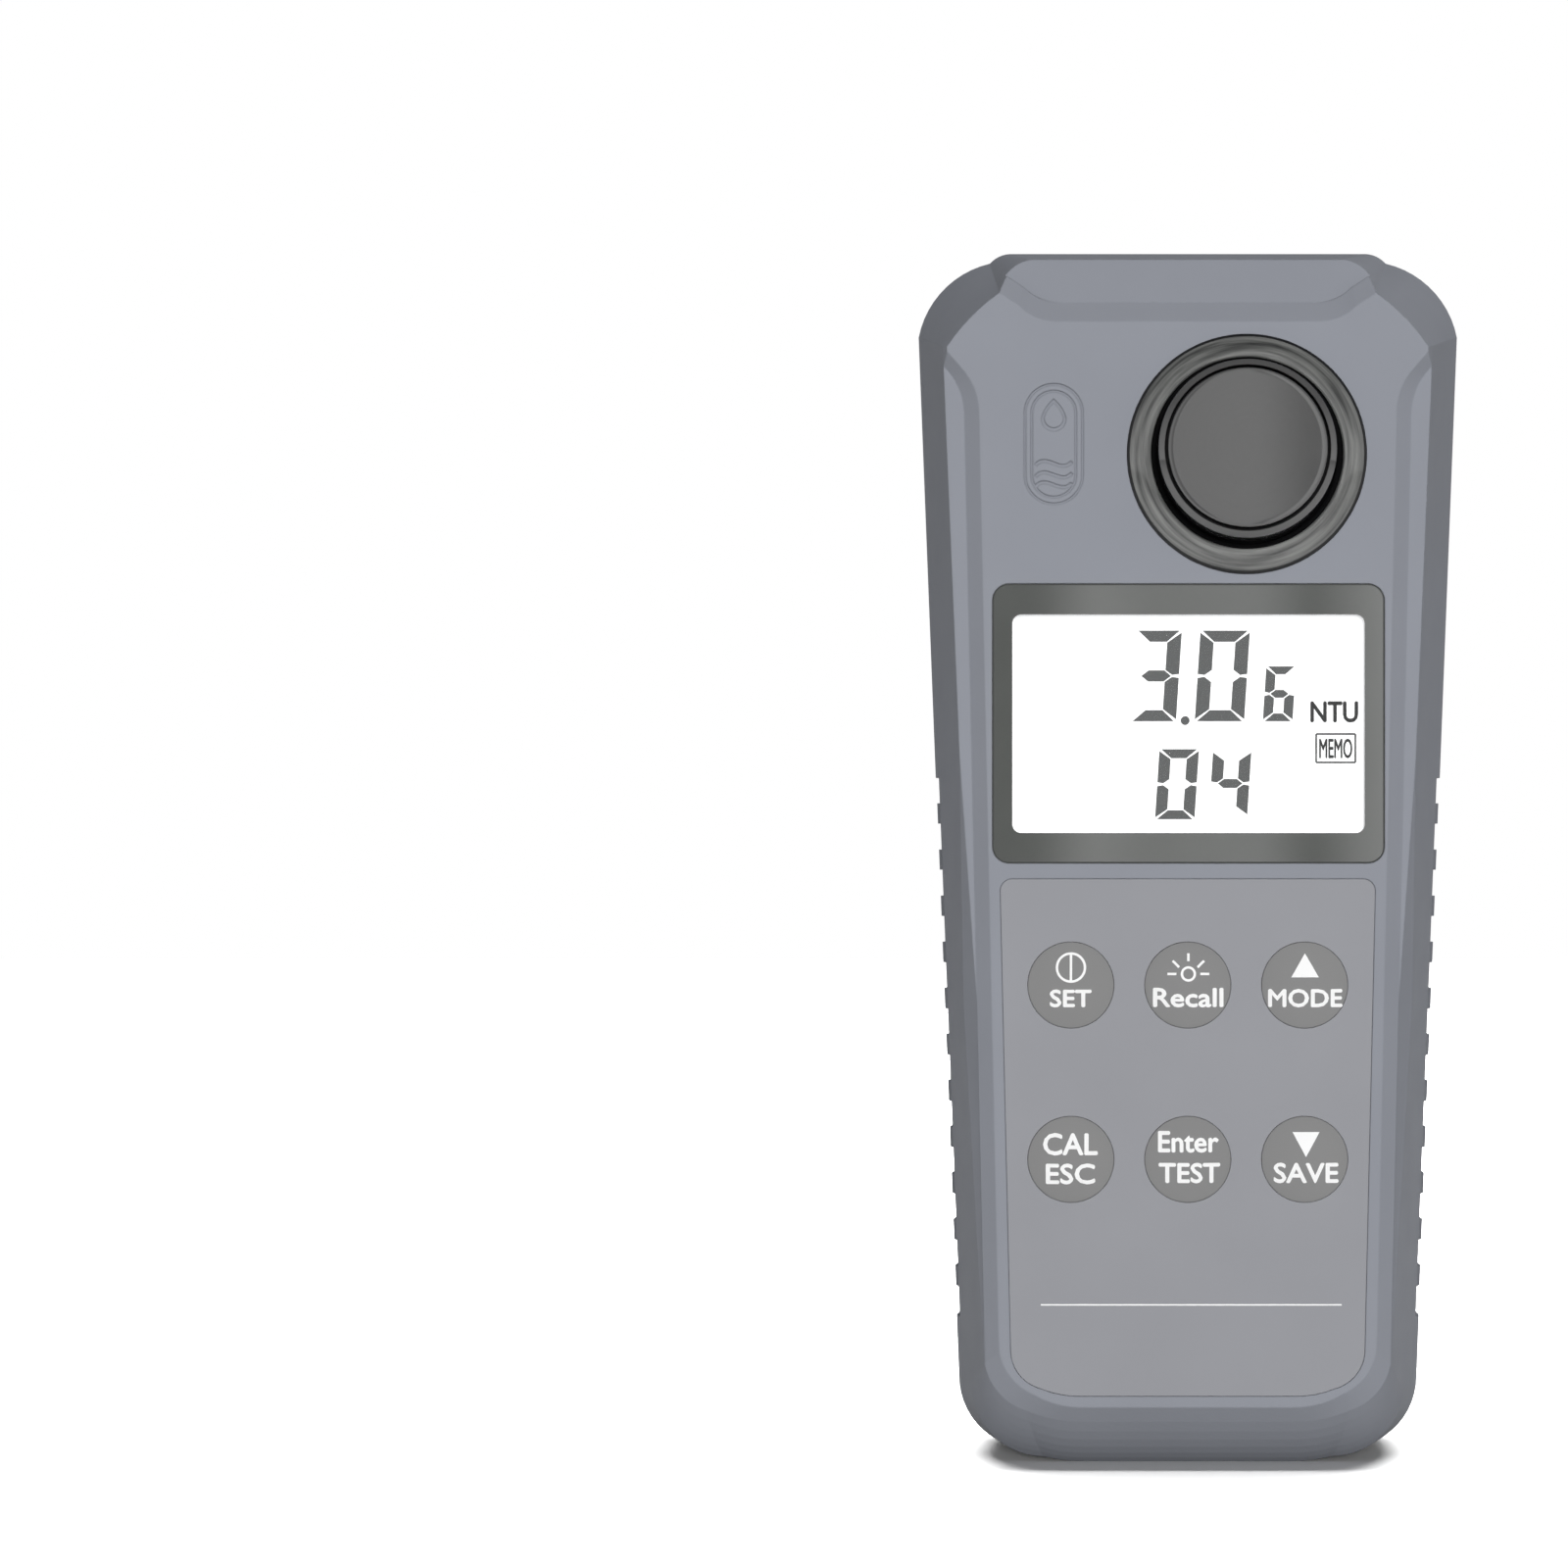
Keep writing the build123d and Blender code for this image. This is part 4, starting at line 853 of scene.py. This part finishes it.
def laid_print(name, art, depth, height, coat, slot, body, piece_px=6.0):
    """Ink laid on a surface: flat art in picture points, cut finely, with its depth from height(x, z)."""
    points, faces = art
    bm = bmesh.new()
    corners = [bm.verts.new((px, py, 0.0)) for px, py in points]
    for face in faces:
        bm.faces.new([corners[index] for index in face])
    bmesh.ops.triangulate(bm, faces=bm.faces[:])
    for _ in range(4):
        long_edges = [edge for edge in bm.edges if edge.calc_length() > piece_px]
        if not long_edges:
            break
        bmesh.ops.subdivide_edges(bm, edges=long_edges, cuts=1)
        bmesh.ops.triangulate(bm, faces=bm.faces[:])
    mesh = bpy.data.meshes.new(name)
    bm.to_mesh(mesh)
    bm.free()
    flat = np.empty(len(mesh.vertices) * 3)
    mesh.vertices.foreach_get("co", flat)
    flat = flat.reshape(-1, 3)
    x, z = seen_at(flat[:, 0], flat[:, 1], depth)
    front = np.stack([x, height(x, z) - INK_T, z], axis=-1)
    back = front + np.array([0.0, INK_T, 0.0])
    tris = [list(face.vertices) for face in mesh.polygons]
    return make_piece(name, *solid_sheet(front, back, tris), coat, slot, body)


def solid_sheet(front, back, tris):
    """Two copies of a flat mesh, joined round its open edges."""
    count = len(front)
    tris = np.array(tris)
    a, b, c = (front[tris[:, n]] for n in range(3))
    toward = np.cross(b - a, c - a)[:, 1]
    tris[toward > 0] = tris[toward > 0][:, ::-1]
    edges = np.vstack([tris[:, [0, 1]], tris[:, [1, 2]], tris[:, [2, 0]]])
    known = {(int(p), int(q)) for p, q in edges}
    walls = [[q, p, p + count, q + count] for p, q in sorted(known) if (q, p) not in known]
    faces = tris.tolist() + (tris[:, ::-1] + count).tolist() + walls
    return np.vstack([front, back]), faces


print("print helpers ready")

# %% Legends of the six keys
LEGEND_DEPTH = -20.8
SUN_PX, SUN_PY = 1212.6, 993.8
stroke = 2.5
rays = [
    [(SUN_PX, 972.8), (SUN_PX, 980.8)],
    [(1191.2, SUN_PY), (1200.4, SUN_PY)],
    [(1224.8, SUN_PY), (1234.0, SUN_PY)],
    [(1196.6, 980.4), (1203.2, 987.0)],
    [(1228.6, 980.4), (1222.0, 987.0)],
]
power_sign = gathered(
    ribbon(circle(1092.8, 987.3, 14.3), stroke, closed=True),
    ribbon([(1092.8, 972.4), (1092.8, 1002.2)], stroke),
)
lamp_sign = gathered(
    ribbon(circle(SUN_PX, SUN_PY, 6.6, 28), stroke, closed=True),
    *[ribbon(ray, stroke) for ray in rays],
)
legends = {
    "power_set": [power_sign, letters("SET", 1071.1, 1113.9, 1009.6, 1028.0)],
    "light_recall": [lamp_sign, letters("Recall", 1176.4, 1248.5, 1008.0, 1028.0)],
    "up_mode": [
        polygon((1331.6, 972.8), (1317.6, 997.3), (1345.8, 997.3)),
        letters("MODE", 1294.0, 1370.0, 1009.0, 1028.0),
    ],
    "cal_esc": [
        letters("CAL", 1064.2, 1120.1, 1156.2, 1179.0),
        letters("ESC", 1067.0, 1117.4, 1187.2, 1208.6),
    ],
    "enter_test": [
        letters("Enter", 1181.6, 1243.7, 1154.2, 1176.2),
        letters("TEST", 1182.2, 1245.1, 1186.4, 1207.5),
    ],
    "down_save": [
        polygon((1332.6, 1180.6), (1318.9, 1155.2), (1346.6, 1155.2)),
        letters("SAVE", 1299.6, 1365.9, 1186.4, 1207.5),
    ],
}
for label, art in legends.items():
    key_x, key_z = key_places[label]

    def on_dome(x, z, key_x=key_x, key_z=key_z):
        return dome_y(np.hypot(x - key_x, z - key_z))

    laid_print(
        f"legend_{label}",
        gathered(*art),
        LEGEND_DEPTH,
        on_dome,
        coats["legend_ink"],
        "key_silicone",
        f"key_{label}_body",
    )
print("legends:", len(legends))

# %% [markdown]
# ## Display digits
# The display shows a reading with a small last digit, its unit, a boxed note and the number of the
# stored reading. A digit has up to seven leaning segments with mitred ends, as the electrodes of a
# real display have.

# %% Seven-segment digits
SEGMENTS = {
    "0": "abcdef",
    "3": "abcdg",
    "4": "bcfg",
    "6": "acdefg",
}


def digit(figure, left, right, top, bottom, post_w, bar_h, slant=0.065, gap=1.0):
    """Segments with mitred ends in a box of picture points, leaning by slant times the height.

    The middle segment is a hexagon. The others are trapezoids whose long side is outside, with
    their outer corners cut a little.
    """
    height = bottom - top
    width = (right - left) - slant * height
    half, cut = height / 2, post_w * 0.07

    def bar(y_out, y_in):
        return [
            (gap + cut, y_out),
            (width - gap - cut, y_out),
            (width - post_w - gap / 2, y_in),
            (post_w + gap / 2, y_in),
        ]

    def post(x_out, x_in, y_end, y_middle):
        away = 1.0 if y_middle > y_end else -1.0
        return [
            (x_out, y_end + away * (gap + cut)),
            (x_in, y_end + away * (bar_h + gap)),
            (x_in, y_middle - away * (bar_h / 2 + gap / 2)),
            ((x_out + x_in) / 2, y_middle - away * gap),
            (x_out, y_middle - away * gap * 2.0),
        ]

    shape_of = {
        "a": bar(0.0, bar_h),
        "d": bar(height, height - bar_h),
        "g": [
            (post_w / 2 + gap, half),
            (post_w + gap, half - bar_h / 2),
            (width - post_w - gap, half - bar_h / 2),
            (width - post_w / 2 - gap, half),
            (width - post_w - gap, half + bar_h / 2),
            (post_w + gap, half + bar_h / 2),
        ],
        "f": post(0.0, post_w, 0.0, half),
        "b": post(width, width - post_w, 0.0, half),
        "e": post(0.0, post_w, height, half),
        "c": post(width, width - post_w, height, half),
    }
    shapes = []
    for segment in SEGMENTS[figure]:
        lean = [(left + px + slant * (height - py), top + py) for px, py in shape_of[segment]]
        shapes.append(polygon(*lean))
    return gathered(*shapes)


def frame_of(left, right, top, bottom, width):
    """Thin rectangle outline."""
    path = [(left, top), (right, top), (right, bottom), (left, bottom)]
    sides = []
    for start, end in zip(path, path[1:] + path[:1]):
        sides.append(ribbon([start, end], width))
    return gathered(*sides)


reading = [
    digit("3", 1153.5, 1206, 643.5, 736, 14.2, 11.4),
    digit("0", 1219, 1275.5, 643.5, 736, 14.2, 11.4),
    (circle(1209.3, 735.3, 4.6, 20), [list(range(20))]),
    digit("6", 1288.5, 1322.5, 680, 736, 10.0, 8.0),
    letters("NTU", 1337, 1386, 715.5, 737.5, 0.8),
    frame_of(1343, 1383, 749, 778, 2.0),
    letters("MEMO", 1346, 1380, 753.5, 774, 0.4),
    digit("0", 1178.5, 1223.5, 764.5, 836, 12.0, 9.2),
    digit("4", 1233.5, 1277, 766, 833, 12.0, 9.2),
]
LCD_FRONT_Y = -17.2
FLAT_PIECE_PX = 60.0


def on_panel(x, z):
    return np.full_like(x, LCD_FRONT_Y - 0.01)


laid_print(
    "lcd_digits",
    gathered(*reading),
    LCD_FRONT_Y,
    on_panel,
    coats["segment_dark"],
    "lcd_glass",
    "housing",
    FLAT_PIECE_PX,
)
print("digits laid on the display")

# %% Printed line on the sheet


def on_sheet(x, z):
    return np.full_like(x, FACE_Y)


rule = ribbon([(1062.0, 1331.5), (1369.0, 1331.5)], 1.5)
laid_print(
    "sheet_line",
    rule,
    FACE_Y,
    on_sheet,
    coats["legend_ink"],
    "overlay_sheet",
    "housing",
    FLAT_PIECE_PX,
)

# %% [markdown]
# ## The end
# The picture is shown without a film curve, so a colour looks as it is written.

# %% Finish
bpy.context.scene.view_settings.view_transform = "Standard"
